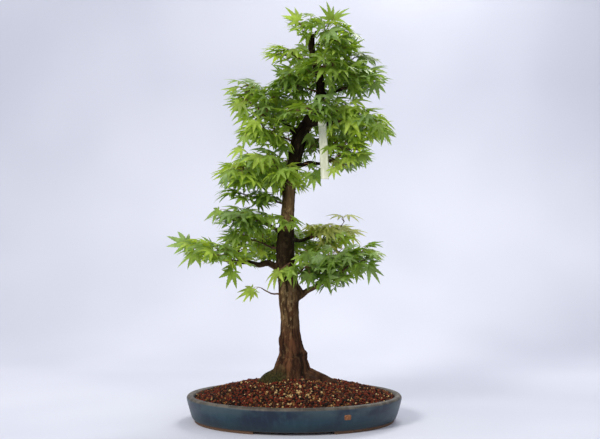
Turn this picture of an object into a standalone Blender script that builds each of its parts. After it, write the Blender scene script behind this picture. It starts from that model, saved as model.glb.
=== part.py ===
"""Japanese maple bonsai: a tall trunk with a flared foot, boughs, masses of foliage, soil and an oval pot.

Metres, +Z up. The pot stands on z = 0 and every size below is measured from the middle of the pot.
"""

import math
import random

import bmesh
import bpy
from mathutils import Matrix, Vector
from mathutils.bvhtree import BVHTree

UP = Vector((0, 0, 1))
CLEAR = 0.0003  # the gap that touching pieces keep
WELD = 0.000001  # points nearer than this are made one

# The middle of the whole plant's footprint lies this far from the middle of the pot.
PLANT_SHIFT = Vector((0.020, -0.009, 0.0))

POT_HALF_LENGTH = 0.220
POT_HALF_DEPTH = 0.170
OVAL_SIDES = 36
FOOT_HEIGHT = 0.006
FLOOR_HEIGHT = 0.015
NOTCH_LENGTH = 0.156
# The pot's wall from the underside, out over the sole, up to the lip and down inside:
# inset from the rim, height.
POT_PROFILE = (
    (0.0290, FOOT_HEIGHT),
    (0.0285, 0.0),
    (0.0165, 0.0),
    (0.0150, 0.0052),
    (0.0120, 0.0075),
    (0.0088, 0.0140),
    (0.0045, 0.0290),
    (0.0000, 0.0475),
    (0.0018, 0.0525),
    (0.0070, 0.0545),
    (0.0125, 0.0530),
    (0.0150, 0.0490),
    (0.0270, FLOOR_HEIGHT),
)

SOIL_EDGE_HEIGHT = 0.0490
SOIL_CROWN = 0.0350
SOIL_SHARES = (0.94, 0.82, 0.70, 0.58, 0.46, 0.34, 0.22, 0.10)
SOIL_LUMP = 0.0018  # lumps in the mound rise and sink by this much
SOIL_LUMP_SPAN = 0.031  # from the top of a lump to the next hollow

# The trunk's middle line and radius, from the flat cut in the soil up to the tip.
CUT_HEIGHT = 0.066
TRUNK_BEVEL = 4  # a bevel resolution of 4 gives 12 sides
ROOT_BEVEL = 1  # and 1 gives 6
TRUNK_STEP = 0.030
BOUGH_BEVEL = 2  # 8 sides
BOUGH_STEP = 0.016
TRUNK = (
    (-0.003, 0.000, 0.052, 0.0460),
    (-0.005, 0.000, 0.098, 0.0370),
    (-0.006, 0.000, 0.137, 0.0270),
    (-0.009, 0.000, 0.178, 0.0212),
    (-0.010, -0.001, 0.216, 0.0188),
    (-0.012, -0.003, 0.268, 0.0208),
    (-0.0185, -0.004, 0.336, 0.0195),
    (-0.0180, -0.002, 0.374, 0.0180),
    (-0.0140, 0.003, 0.425, 0.0128),
    (-0.0110, 0.005, 0.472, 0.0138),
    (-0.0040, 0.006, 0.506, 0.0120),
    (0.0080, 0.006, 0.574, 0.0160),
    (0.0270, 0.004, 0.608, 0.0135),
    (0.0510, 0.000, 0.657, 0.0096),
    (0.0530, -0.004, 0.695, 0.0094),
    (0.0360, -0.009, 0.752, 0.0074),
    (0.0380, -0.012, 0.786, 0.0046),
)

# Surface roots: compass heading in degrees, reach from the trunk's middle, radius where they leave it.
ROOTS = (
    (186, 0.080, 0.0210),
    (226, 0.074, 0.0190),
    (270, 0.068, 0.0180),
    (308, 0.072, 0.0180),
    (347, 0.108, 0.0200),
    (40, 0.088, 0.0180),
    (92, 0.074, 0.0180),
    (140, 0.082, 0.0180),
)
# The way each surface root runs: share of its reach, height and share of its radius.
ROOT_RUN = (
    (0.10, 0.122, 1.00),
    (0.34, 0.100, 1.00),
    (0.60, 0.080, 0.78),
    (0.82, 0.068, 0.54),
    (1.00, 0.062, 0.34),
)
# Old pruning scars that stand out of the trunk: centre and radius.
KNOBS = (
    ((0.0135, -0.006, 0.137), 0.0150),
    ((-0.0280, -0.004, 0.163), 0.0090),
    ((-0.0330, 0.004, 0.141), 0.0085),
    ((-0.0010, -0.012, 0.250), 0.0120),
)

# Boughs: height on the trunk, elbow, end, radius at the trunk and at the end.
BOUGHS = {
    "bough_lower_right": (0.252, (0.032, -0.010, 0.268), (0.056, -0.016, 0.281), 0.0075, 0.0042),
    "bough_lower_left": (0.312, (-0.066, -0.004, 0.318), (-0.118, -0.014, 0.324), 0.0080, 0.0048),
    "bough_lower_back": (0.335, (-0.012, 0.045, 0.343), (-0.004, 0.082, 0.352), 0.0070, 0.0042),
    "bough_back_right": (0.372, (0.008, 0.028, 0.368), (0.034, 0.052, 0.374), 0.0055, 0.0038),
    "bough_left": (0.386, (-0.048, -0.004, 0.398), (-0.070, -0.008, 0.408), 0.0070, 0.0042),
    "bough_middle_back": (0.480, (-0.020, 0.040, 0.492), (-0.030, 0.068, 0.503), 0.0055, 0.0038),
    "bough_right": (0.520, (0.042, 0.014, 0.528), (0.076, 0.012, 0.532), 0.0055, 0.0038),
    "bough_upper_left": (0.588, (-0.026, -0.004, 0.612), (-0.056, -0.008, 0.621), 0.0072, 0.0044),
    "bough_upper_back": (0.596, (0.030, 0.040, 0.610), (0.036, 0.066, 0.620), 0.0058, 0.0038),
    "bough_upper_right": (0.603, (0.056, -0.012, 0.606), (0.092, -0.014, 0.610), 0.0058, 0.0040),
    "bough_high_right": (0.662, (0.076, -0.004, 0.672), (0.098, -0.006, 0.678), 0.0050, 0.0036),
}

# Masses of foliage: the bough they grow from, or a height on the trunk, the furthest leaf tip,
# half width, half height, leaves asked for and how far the leaves hang, where 1 is nearly straight down.
MASSES = {
    "leaves_lower_left_outer": ("bough_lower_left", (-0.260, -0.045, 0.362), 0.062, 0.046, 11, 0.45),
    "leaves_lower_right": ("bough_lower_right", (0.190, -0.030, 0.338), 0.066, 0.052, 13, 0.45),
    "leaves_lower_back": ("bough_lower_back", (-0.010, 0.166, 0.345), 0.072, 0.040, 9, 0.45),
    "leaves_back_right": ("bough_back_right", (0.150, 0.100, 0.389), 0.052, 0.036, 10, 0.50),
    "leaves_left": ("bough_left", (-0.184, -0.035, 0.424), 0.056, 0.034, 10, 0.45),
    "leaves_middle_back": ("bough_middle_back", (-0.062, 0.155, 0.516), 0.066, 0.042, 9, 0.45),
    "leaves_right": ("bough_right", (0.172, -0.020, 0.545), 0.056, 0.042, 10, 0.55),
    "leaves_upper_left": ("bough_upper_left", (-0.154, -0.030, 0.690), 0.058, 0.046, 11, 0.40),
    "leaves_upper_back": ("bough_upper_back", (0.050, 0.155, 0.625), 0.068, 0.046, 9, 0.45),
    "leaves_upper_right": ("bough_upper_right", (0.212, -0.035, 0.572), 0.064, 0.048, 12, 0.60),
    "leaves_high_right": ("bough_high_right", (0.205, -0.020, 0.700), 0.058, 0.036, 9, 0.45),
    "leaves_lower_left_inner": (0.350, (-0.166, 0.040, 0.372), 0.046, 0.034, 10, 0.40),
    "leaves_left_twig": (0.442, (-0.176, -0.012, 0.464), 0.036, 0.020, 6, 0.35),
    "leaves_left_high": (0.494, (-0.166, -0.045, 0.510), 0.060, 0.044, 12, 0.50),
    "leaves_upper_left_low": (0.566, (-0.132, -0.030, 0.580), 0.050, 0.034, 10, 0.45),
    "leaves_top_left_low": (0.674, (-0.064, -0.035, 0.680), 0.048, 0.036, 9, 0.35),
    "leaves_top_left": (0.742, (-0.072, -0.020, 0.760), 0.040, 0.028, 7, 0.30),
    "leaves_top_right": (0.764, (0.142, -0.025, 0.768), 0.054, 0.044, 10, 0.50),
    "leaves_high_right_back": (0.724, (0.178, 0.046, 0.728), 0.052, 0.036, 10, 0.45),
    "leaves_high_back": (0.690, (0.060, 0.146, 0.715), 0.062, 0.044, 9, 0.45),
    "leaves_high_front": (0.704, (0.070, -0.125, 0.690), 0.056, 0.040, 8, 0.55),
    "leaves_upper_front": (0.628, (0.012, -0.125, 0.622), 0.060, 0.036, 9, 0.50),
    "leaves_apex_left": (0.766, (-0.018, -0.022, 0.836), 0.034, 0.024, 6, 0.00),
    "leaves_apex": ("trunk_tip", (0.068, -0.016, 0.842), 0.034, 0.022, 6, -0.30),
    "leaves_middle_front": (0.490, (-0.026, -0.100, 0.482), 0.038, 0.028, 6, 0.60),
    "leaves_right_inner": (0.540, (0.080, 0.036, 0.562), 0.034, 0.028, 6, 0.45),
    "leaves_front": (0.398, (0.002, -0.098, 0.392), 0.032, 0.020, 4, 0.45),
    "leaves_lower_front": (0.296, (-0.056, -0.088, 0.288), 0.036, 0.028, 5, 0.60),
    "leaves_lower_front_right": (0.286, (0.078, -0.082, 0.284), 0.040, 0.030, 6, 0.55),
    "leaves_low_twig": (0.256, (-0.116, -0.018, 0.244), 0.022, 0.024, 2, 0.80),
}

# A palmate leaf: each lobe's angle from the middle lobe and its share of the leaf's length.
LOBES = ((-104, 0.52), (-54, 0.86), (0, 1.0), (54, 0.86), (104, 0.52))
NOTCH_SHARE = 0.37
LEAF_WAIST_ANGLE = 150
LEAF_WAIST_SHARE = 0.04
LEAF_LENGTH = 0.055
LEAF_HALF_THICKNESS = 0.00042
LEAF_SPREAD = (0.78, 1.12)
LOBE_SAG = 0.10
LEAF_LEAST_TURN = 0.3  # cosine of the sharpest turn between a stalk and its blade
STALK_HALF_WIDTH = 0.0006
STALK_LENGTH = 0.015
STALK_LONGEST = 0.032
STALK_SUNK = 0.003
SITE_SPACING = 0.025
SITE_REACH = 0.72  # blades start within this share of their mass's half sizes
LEAF_ROOM = 0.026  # how far past those half sizes a leaf's tips may reach
LEAF_TRIES = 8
LEAF_CALM = 0.7  # how much less a leaf hangs by its last try
LEAF_HANG_SPREAD = (1.0, 3.2)
LEAF_SWAY = 0.35  # how far chance turns a leaf
LEAF_PULLS = {"along_out": 0.6, "across_out": 1.6, "stalk": 0.5, "along": 0.3, "face_out": 0.9}
TIP_LEAF_GROWTH = 1.08  # the furthest leaf is this much longer than the rest
LEAF_SHRINK = 0.94
FUSE_TRIES = 12
FUSE_STEP = 0.013
STEM_RADIUS = (0.0026, 0.0017)
STEM_PIECES = 3
STEM_STRAIGHT = 0.004  # a stem leaves its bough straight ahead
STEM_BEND = 0.4  # and bends about this share of the way along
ROOM_ON_STEM = (0.97, 0.10)  # leaves root past this share of the stem's first piece, and of a twig
ROOM_END = 0.97
SITES_PER_LEAF = 3
SITE_DRAWS = 40
TWIG_RADIUS = (0.0017, 0.0015)
GUARD_GROWTH = 1.05  # leaves of other masses keep out of a leaf's whole blade
CROWD_GROWTH = 0.95  # leaves of its own mass, which are fused to it, keep out of the middle of its blade
GUARD_THICKNESS = 0.0012
LIMB_ROOM = 5 * CLEAR  # leaves keep this far from the trunk and the boughs
TWIG_ROOM = 2 * CLEAR  # and this far from other masses' twigs

LABEL_WIDTH = 0.017
LABEL_THICKNESS = 0.0009
LABEL_LENGTH = 0.112
LABEL_AT = 0.056  # how far along X the strip hangs on its bough
LABEL_LOOP_SIDES = 12
LABEL_SLACK = 0.0022  # the loop is this much wider than its bough all round
LABEL_DROP = 0.0004  # and it hangs down by this much, so that its top lies close over the bough

COLOURS = {
    "bark": ((0.115, 0.070, 0.045), 0.85),
    "leaf": ((0.105, 0.235, 0.030), 0.55),
    "soil": ((0.130, 0.060, 0.035), 0.95),
    "glaze": ((0.060, 0.115, 0.150), 0.32),
    "label": ((0.720, 0.740, 0.690), 0.45),
}


def start_scene():
    """Clears the scene and makes the collections for the pieces and for the cutters."""
    for old in list(bpy.data.objects):
        bpy.data.objects.remove(old)
    plant = bpy.data.collections.new("maple_bonsai")
    tools = bpy.data.collections.new("cutters")
    bpy.context.scene.collection.children.link(plant)
    bpy.context.scene.collection.children.link(tools)
    stand = bpy.data.objects.new("stand_point", None)
    stand.location = PLANT_SHIFT
    plant.objects.link(stand)
    return plant, tools, stand


PLANT, TOOLS, STAND = start_scene()


def material(name):
    """The named finish, made once."""
    found = bpy.data.materials.get(name)
    if found:
        return found
    colour, roughness = COLOURS[name]
    made = bpy.data.materials.new(name)
    made.use_nodes = True
    shader = made.node_tree.nodes["Principled BSDF"]
    shader.inputs["Base Color"].default_value = (*colour, 1.0)
    shader.inputs["Roughness"].default_value = roughness
    shader.inputs["Metallic"].default_value = 0.0
    return made


def place(obj, collection=TOOLS):
    """Puts an object in a collection. What isn't a piece of the plant stays out of the render."""
    collection.objects.link(obj)
    helper = collection != PLANT
    obj.hide_render = helper
    if helper:
        obj.display_type = "WIRE"
    return obj


def finish_piece(obj, name, finish, smooth=True):
    """Names an object, gives it its finish and stands it on the plant's own point."""
    for holder in list(obj.users_collection):
        holder.objects.unlink(obj)
    place(obj, PLANT)
    obj.display_type = "TEXTURED"
    obj.name = name
    obj.data.materials.clear()
    obj.data.materials.append(material(finish))
    if smooth:
        obj.data.shade_smooth()
        obj.data.set_sharp_from_angle(angle=math.radians(40))
    obj.parent = STAND
    return obj


def mesh_object(name, bm, collection=TOOLS):
    """An object from a bmesh, with its faces turned out."""
    bmesh.ops.recalc_face_normals(bm, faces=bm.faces)
    mesh = bpy.data.meshes.new(name)
    bm.to_mesh(mesh)
    bm.free()
    return place(bpy.data.objects.new(name, mesh), collection)


def as_mesh(obj):
    """The evaluated shape of an object as a mesh object of its own. The first object is removed."""
    graph = bpy.context.evaluated_depsgraph_get()
    mesh = bpy.data.meshes.new_from_object(obj.evaluated_get(graph), depsgraph=graph)
    if obj.type == "CURVE":
        bm = bmesh.new()
        bm.from_mesh(mesh)
        bmesh.ops.remove_doubles(bm, verts=bm.verts, dist=WELD)
        bmesh.ops.recalc_face_normals(bm, faces=bm.faces)
        bm.to_mesh(mesh)
        bm.free()
    made = place(bpy.data.objects.new(obj.name + "_mesh", mesh))
    made.matrix_world = obj.matrix_world
    bpy.data.objects.remove(obj)
    return made


def smooth_route(stations, step):
    """Points with radii on a smooth curve through the stations, about one step apart."""
    rows = [Vector(row) for row in stations]
    ends = [2 * rows[0] - rows[1], *rows, 2 * rows[-1] - rows[-2]]
    route = []
    for before, start, end, after in zip(ends, ends[1:], ends[2:], ends[3:]):
        pieces = max(1, round((end - start).to_3d().length / step))
        for k in range(pieces):
            t = k / pieces
            route.append(
                0.5
                * (
                    2 * start
                    + (end - before) * t
                    + (2 * before - 5 * start + 4 * end - after) * t**2
                    + (3 * start - before - 3 * end + after) * t**3
                )
            )
    route.append(rows[-1])
    return [(row.to_3d(), row[3]) for row in route]


def triangle_section():
    """The three-sided section that the thin twigs are drawn with."""
    curve = bpy.data.curves.new("twig_section", "CURVE")
    spline = curve.splines.new("POLY")
    spline.points.add(2)
    for k, point in enumerate(spline.points):
        turn = 2 * math.pi * k / 3
        point.co = (math.cos(turn), math.sin(turn), 0, 1)
    spline.use_cyclic_u = True
    return place(bpy.data.objects.new("twig_section", curve))


TWIG_SECTION = triangle_section()


def tube(name, route, resolution=None):
    """A tapering round limb along points with radii. With no resolution it is three-sided."""
    curve = bpy.data.curves.new(name, "CURVE")
    curve.dimensions = "3D"
    curve.use_fill_caps = True
    if resolution is None:
        curve.bevel_mode = "OBJECT"
        curve.bevel_object = TWIG_SECTION
    else:
        curve.bevel_depth = 1.0
        curve.bevel_resolution = resolution
    spline = curve.splines.new("POLY")
    spline.points.add(len(route) - 1)
    for point, (place_at, radius) in zip(spline.points, route):
        point.co = (*place_at, 1)
        point.radius = radius
    return as_mesh(place(bpy.data.objects.new(name, curve)))


def boolean(base, operation, others, solver="EXACT"):
    """Joins or cuts base with the other objects, applies it and removes them."""
    group = bpy.data.collections.new("operands")
    bpy.context.scene.collection.children.link(group)
    for other in others:
        group.objects.link(other)
    step = base.modifiers.new(operation.lower(), "BOOLEAN")
    step.operation = operation
    step.operand_type = "COLLECTION"
    step.collection = group
    step.solver = solver
    made = as_mesh(base)
    for other in others:
        bpy.data.objects.remove(other)
    bpy.data.collections.remove(group)
    drop_spare_points(made)
    return made


def drop_spare_points(obj):
    """Drops the points that a Boolean leaves along straight edges, where only two edges meet."""
    bm = bmesh.new()
    bm.from_mesh(obj.data)
    bmesh.ops.remove_doubles(bm, verts=bm.verts, dist=WELD)
    spare = [vert for vert in bm.verts if len(vert.link_edges) == 2]
    bmesh.ops.dissolve_verts(bm, verts=spare)
    wires = [edge for edge in bm.edges if edge.is_wire]
    bmesh.ops.delete(bm, geom=wires, context="EDGES")
    bmesh.ops.triangulate(bm, faces=bm.faces)
    bm.to_mesh(obj.data)
    bm.free()


def drop_scraps(obj):
    """Keeps an object's largest body. A sealed hollow's skin and a loose scrap are bodies too."""
    bm = bmesh.new()
    bm.from_mesh(obj.data)
    waiting = set(bm.faces)
    bodies = []
    while waiting:
        body = {waiting.pop()}
        front = list(body)
        while front:
            face = front.pop()
            beside = {other for edge in face.edges for other in edge.link_faces} & waiting
            waiting -= beside
            body |= beside
            front.extend(beside)
        bodies.append(body)
    bodies.sort(key=len)
    for body in bodies[:-1]:
        bmesh.ops.delete(bm, geom=list(body), context="FACES")
    bm.to_mesh(obj.data)
    bm.free()


def is_sound(obj):
    """True if an object has faces, and just two of them meet along each edge."""
    bm = bmesh.new()
    bm.from_mesh(obj.data)
    sound = bool(bm.faces) and all(len(edge.link_faces) == 2 for edge in bm.edges)
    bm.free()
    return sound


def copy_of(obj):
    return place(bpy.data.objects.new(obj.name + "_copy", obj.data.copy()))


def oval_ring(inset, height, sides):
    """Points round the pot's oval, moved in from its rim."""
    turns = [2 * math.pi * k / sides for k in range(sides)]
    across, deep = POT_HALF_LENGTH - inset, POT_HALF_DEPTH - inset
    return [Vector((across * math.cos(t), deep * math.sin(t), height)) for t in turns]


def loft(name, rings):
    """A closed body through rings of points, capped at both ends."""
    bm = bmesh.new()
    made = [[bm.verts.new(point) for point in ring] for ring in rings]
    for low, high in zip(made, made[1:]):
        for k in range(len(low)):
            bm.faces.new((low[k - 1], low[k], high[k], high[k - 1]))
    bm.faces.new(made[0])
    bm.faces.new(made[-1])
    return mesh_object(name, bm)


def box(name, low, high):
    bm = bmesh.new()
    bmesh.ops.create_cube(bm, size=1)
    size = Vector(high) - Vector(low)
    for vert in bm.verts:
        vert.co = Vector(low) + Vector(a * (b + 0.5) for a, b in zip(size, vert.co))
    return mesh_object(name, bm)


def pot():
    """The glazed oval pot on a foot ring that is notched at the front and the back."""
    body = loft("pot_body", [oval_ring(inset, height, OVAL_SIDES) for inset, height in POT_PROFILE])
    below = FOOT_HEIGHT
    half = NOTCH_LENGTH / 2
    notch = box("notch", (-half, -POT_HALF_DEPTH * 2, -below), (half, POT_HALF_DEPTH * 2, FOOT_HEIGHT))
    return finish_piece(boolean(body, "DIFFERENCE", [notch]), "pot", "glaze")


def soil_height(share, across, deep):
    """Height of the lumpy mound at a share of the way from the middle to the pot's wall."""
    wave = math.pi / SOIL_LUMP_SPAN
    lump = math.sin(across * wave + 2 * math.sin(deep * wave / 3))
    lump *= math.sin(deep * wave + 2 * math.sin(across * wave / 3))
    return SOIL_EDGE_HEIGHT + SOIL_CROWN * (1 - share**2) + SOIL_LUMP * lump * (1 - share**4)


def soil(trunk_pocket):
    """The soil fills the pot, clear of its wall, and is mounded up round the trunk's foot."""
    wall = POT_PROFILE[-2:]
    rings = [oval_ring(inset + CLEAR, height + CLEAR, OVAL_SIDES) for inset, height in reversed(wall)]
    edge_inset = wall[0][0] + CLEAR
    across, deep = POT_HALF_LENGTH - edge_inset, POT_HALF_DEPTH - edge_inset
    for share in SOIL_SHARES:
        ring = oval_ring(edge_inset, 0.0, OVAL_SIDES)
        for point in ring:
            turn = math.atan2(point.y / deep, point.x / across)
            point.x = across * share * math.cos(turn)
            point.y = deep * share * math.sin(turn)
            point.z = soil_height(share, point.x, point.y)
        rings.append(ring)
    return finish_piece(boolean(loft("soil_body", rings), "DIFFERENCE", [trunk_pocket]), "soil", "soil")


def trunk_at(height):
    """The trunk's middle and radius at a height."""
    for (low, r_low), (high, r_high) in zip(TRUNK_ROUTE, TRUNK_ROUTE[1:]):
        if low.z <= height <= high.z:
            share = (height - low.z) / (high.z - low.z)
            return low.lerp(high, share), r_low + (r_high - r_low) * share
    return TRUNK_ROUTE[-1]


TRUNK_ROUTE = smooth_route(TRUNK, TRUNK_STEP)


def root_route(heading, reach, radius, grow):
    """A surface root: it leaves the trunk's foot, sinks to the soil and thins out along it."""
    turn = math.radians(heading)
    out = Vector((math.cos(turn), math.sin(turn), 0))
    middle = trunk_at(CUT_HEIGHT)[0]
    stations = []
    for share, height, width in ROOT_RUN:
        point = middle + out * (reach * share)
        stations.append((point.x, point.y, height, radius * width + grow))
    return smooth_route(stations, reach)


def trunk_body(grow=0.0):
    """The trunk, its roots and its scars as one body, cut flat in the soil and fatter all round by grow."""
    core = tube("trunk_core", [(point, radius + grow) for point, radius in TRUNK_ROUTE], TRUNK_BEVEL)
    parts = [tube("root", root_route(*row, grow), ROOT_BEVEL) for row in ROOTS]
    for centre, radius in KNOBS:
        bm = bmesh.new()
        bmesh.ops.create_icosphere(bm, subdivisions=1, radius=radius + grow)
        bmesh.ops.translate(bm, verts=bm.verts, vec=centre)
        parts.append(mesh_object("knob", bm))
    whole = boolean(core, "UNION", parts)
    side = POT_HALF_LENGTH
    below = box("below", (-side, -side, -side), (side, side, CUT_HEIGHT - grow))
    return boolean(whole, "DIFFERENCE", [below])


def bough_route(name):
    height, elbow, end, thick, thin = BOUGHS[name]
    middle = trunk_at(height)[0]
    stations = [(*middle, thick), (*elbow, (thick + thin) / 2), (*end, thin)]
    return smooth_route(stations, BOUGH_STEP)


def leaf_rim():
    """The leaf's outline from one side of the stalk to the other: angle and share of its length."""
    rim = [(-LEAF_WAIST_ANGLE, LEAF_WAIST_SHARE)]
    for k, (angle, share) in enumerate(LOBES):
        if k:
            last_angle, last_share = LOBES[k - 1]
            rim.append(((angle + last_angle) / 2, NOTCH_SHARE * (share + last_share) / 2))
        rim.append((angle, share))
    rim.append((LEAF_WAIST_ANGLE, LEAF_WAIST_SHARE))
    return rim


LEAF_RIM = leaf_rim()


def leaf_points(leaf, guard=None, fat=1.0):
    """A leaf's corners: the stalk's foot, the blade's thick heart, and its rim. A guard is a thick copy."""
    root, heart, axis, normal, length = leaf
    side = normal.cross(axis)
    growth = guard or 1.0
    half = GUARD_THICKNESS if guard else LEAF_HALF_THICKNESS * fat
    width = GUARD_THICKNESS if guard else STALK_HALF_WIDTH * fat
    foot = root.lerp(heart, 0.3) if guard else root
    stalk = [foot + normal * width, foot - side * width, foot - normal * width, foot + side * width]
    rim = []
    for angle, share in LEAF_RIM:
        turn = math.radians(angle)
        out = axis * math.cos(turn) + side * math.sin(turn)
        sag = LOBE_SAG * length * share**2
        rim.append(heart + out * (share * length * growth) - normal * sag)
    return stalk, heart + normal * half, heart - normal * half, rim


def leaf_faces(bm, leaf, guard=None, fat=1.0):
    """Adds one leaf with its stalk to a bmesh."""
    stalk, over, under, rim = leaf_points(leaf, guard, fat)
    foot = [bm.verts.new(point) for point in stalk]
    top = bm.verts.new(over)
    bottom = bm.verts.new(under)
    edge = [bm.verts.new(point) for point in rim]
    around = [top, edge[0], bottom, edge[-1]]
    for k in range(4):
        bm.faces.new((foot[k - 1], foot[k], around[k], around[k - 1]))
    bm.faces.new(foot)
    for one, two in zip(edge, edge[1:]):
        bm.faces.new((top, one, two))
        bm.faces.new((bottom, two, one))


def tree_of(bm):
    """A search tree of a bmesh with the box it fills. The bmesh is freed."""
    low = Vector(min(v.co[k] for v in bm.verts) for k in range(3))
    high = Vector(max(v.co[k] for v in bm.verts) for k in range(3))
    tree = BVHTree.FromBMesh(bm)
    bm.free()
    return tree, low, high


def leaf_tree(leaf, guard):
    bm = bmesh.new()
    leaf_faces(bm, leaf, guard)
    bmesh.ops.triangulate(bm, faces=bm.faces)
    return tree_of(bm)


def limb_tree(route, margin):
    """A search tree of a plain square limb round a route."""
    bm = bmesh.new()
    rings = []
    for k, (point, radius) in enumerate(route):
        ahead = route[min(k + 1, len(route) - 1)][0] - route[max(k - 1, 0)][0]
        across = ahead.orthogonal().normalized()
        over = ahead.cross(across).normalized()
        reach = (radius + margin) * math.sqrt(2)
        corners = (across, over, -across, -over)
        rings.append([bm.verts.new(point + corner * reach) for corner in corners])
    for low, high in zip(rings, rings[1:]):
        for k in range(4):
            bm.faces.new((low[k - 1], low[k], high[k], high[k - 1]))
    bm.faces.new(rings[0])
    bm.faces.new(rings[-1])
    bmesh.ops.triangulate(bm, faces=bm.faces)
    return tree_of(bm)


def meets(one, two):
    """True if two search trees cross."""
    apart = any(one[1][k] > two[2][k] or one[2][k] < two[1][k] for k in range(3))
    return not apart and bool(one[0].overlap(two[0]))


class Mass:
    """One mass of foliage: an egg-shaped space, a stem into it, and the twigs and leaves grown there."""

    def __init__(self, name, seed):
        rooted, tip, self.half_width, self.half_height, self.asked, self.hang = MASSES[name]
        self.name = name
        self.rng = random.Random(seed)
        self.tip = Vector(tip)
        self.on_trunk = not isinstance(rooted, str)
        if self.on_trunk:
            self.start = trunk_at(rooted)[0]
            self.heading = (self.tip - self.start).normalized()
        else:
            route = TRUNK_ROUTE if rooted == "trunk_tip" else bough_route(rooted)
            self.heading = (route[-1][0] - route[-2][0]).normalized()
            self.start = route[-1][0] + self.heading * CLEAR
        self.length = (self.tip - self.start).length
        self.along = (self.tip - self.start).normalized()
        self.across = self.along.cross(UP).normalized()
        self.over = self.across.cross(self.along)
        self.middle = (self.start + self.tip) / 2
        self.segments = []
        self.leaves = []

    def inner(self, point):
        """How far out a point lies in the mass's own space, where 1 is on its skin."""
        away = point - self.middle
        parts = (
            away.dot(self.along) / (self.length / 2 + LEAF_ROOM),
            away.dot(self.across) / (self.half_width + LEAF_ROOM),
            away.dot(self.over) / (self.half_height + LEAF_ROOM),
        )
        return math.sqrt(sum(part * part for part in parts))

    def sites(self):
        """Places for leaves, evenly spread through the space, nearest the stem's foot first."""
        found = []
        half_sizes = (self.length / 2, self.half_width, self.half_height)
        long, wide, tall = (SITE_REACH * size for size in half_sizes)
        for _ in range(self.asked * SITE_DRAWS):
            ball = Vector(self.rng.uniform(-1, 1) for _ in range(3))
            if ball.length > 1 or len(found) == SITES_PER_LEAF * self.asked:
                continue
            point = self.middle + self.along * (ball.x * long)
            point += self.across * (ball.y * wide) + self.over * (ball.z * tall)
            if all((point - other).length > SITE_SPACING for other in found):
                found.append(point)
        return sorted(found, key=lambda point: (point - self.start).length)

    def sway(self):
        """A small turn by chance."""
        return Vector(self.rng.uniform(-LEAF_SWAY, LEAF_SWAY) for _ in range(3))

    def leaf_at(self, root, heart, length, calm):
        """A leaf whose blade leans out of the mass and hangs. A calm of 1 lays it flat."""
        out = heart - self.middle
        out = self.along * (out.dot(self.along) * LEAF_PULLS["along_out"])
        out += self.across * ((heart - self.middle).dot(self.across) * LEAF_PULLS["across_out"])
        out.normalize()
        stalk = (heart - root).normalized()
        hang = self.hang * self.rng.uniform(*LEAF_HANG_SPREAD) * (1 - LEAF_CALM * calm)
        axis = out + LEAF_PULLS["stalk"] * stalk + LEAF_PULLS["along"] * self.along
        axis = (axis + self.sway() - UP * hang).normalized()
        axis = (axis + stalk * max(0.0, LEAF_LEAST_TURN - axis.dot(stalk))).normalized()
        normal = UP + LEAF_PULLS["face_out"] * out + self.sway()
        normal = (normal - axis * normal.dot(axis)).normalized()
        return root, heart, axis, normal, length

    def nearest(self, point):
        """The nearest place on the stem or a twig, past the stem's first piece."""
        best = None
        for k, (start, end) in enumerate(self.segments):
            span = end - start
            low = ROOM_ON_STEM[0 if k == 0 else 1]
            share = max(low, min(ROOM_END, (point - start).dot(span) / span.length_squared))
            place_at = start + span * share
            gap = (point - place_at).length
            if best is None or gap < best[0]:
                best = (gap, place_at)
        return best

    def stem_route(self):
        """The stem bends from the way its bough heads towards the furthest leaf."""
        lean = (self.along - UP * (0.5 * self.hang)).normalized()
        leaf_length = min(LEAF_LENGTH * TIP_LEAF_GROWTH, self.length / 2)
        heart = self.tip - lean * leaf_length
        end = heart - self.along * STALK_LENGTH
        last_root = end - self.along * STALK_SUNK
        straight = self.start + self.heading * STEM_STRAIGHT
        bend = self.start + self.heading * (STEM_BEND * (end - self.start).length)
        route = [(self.start, STEM_RADIUS[0])]
        for k in range(STEM_PIECES + 1):
            t = k / STEM_PIECES
            point = straight * (1 - t) ** 2 + bend * (2 * t * (1 - t)) + end * t**2
            radius = STEM_RADIUS[0] + (STEM_RADIUS[1] - STEM_RADIUS[0]) * t
            route.append((point, radius))
        normal = (UP - lean * UP.dot(lean)).normalized()
        return route, (last_root, heart, lean, normal, leaf_length)

    def grow(self, taken):
        """Grows the stem, its twigs and its leaves, leaving out what meets anything taken."""
        route, last_leaf = self.stem_route()
        self.twigs = [route]
        self.segments = [(a[0], b[0]) for a, b in zip(route, route[1:])]
        own = []
        crowd = []

        def free(tree, others):
            return not any(meets(tree, other) for other in others)

        def try_leaf(leaf):
            whole = leaf_tree(leaf, GUARD_GROWTH)
            middle = leaf_tree(leaf, CROWD_GROWTH)
            fits = all(self.inner(point) < 1 for point in leaf_points(leaf)[3])
            if (fits or leaf is last_leaf) and free(whole, taken) and free(middle, crowd):
                self.leaves.append(leaf)
                own.append(whole)
                crowd.append(middle)
                return True
            return False

        try_leaf(last_leaf)
        for site in self.sites():
            if len(self.leaves) > self.asked:
                break
            gap, anchor = self.nearest(site)
            root = anchor
            twig = None
            if gap > STALK_LONGEST:
                back = (anchor - site).normalized()
                twig = [(anchor, TWIG_RADIUS[0]), (site + back * STALK_LENGTH, TWIG_RADIUS[1])]
                root = site + back * (STALK_LENGTH + STALK_SUNK)
                if not free(limb_tree(twig, TWIG_ROOM), taken):
                    continue
            length = LEAF_LENGTH * self.rng.uniform(*LEAF_SPREAD)
            for attempt in range(LEAF_TRIES):
                if try_leaf(self.leaf_at(root, site, length, attempt / LEAF_TRIES)):
                    if twig:
                        self.twigs.append(twig)
                        self.segments.append((twig[0][0], twig[1][0]))
                    break
                length *= LEAF_SHRINK
        return own + [limb_tree(twig, TWIG_ROOM) for twig in self.twigs]

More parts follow.
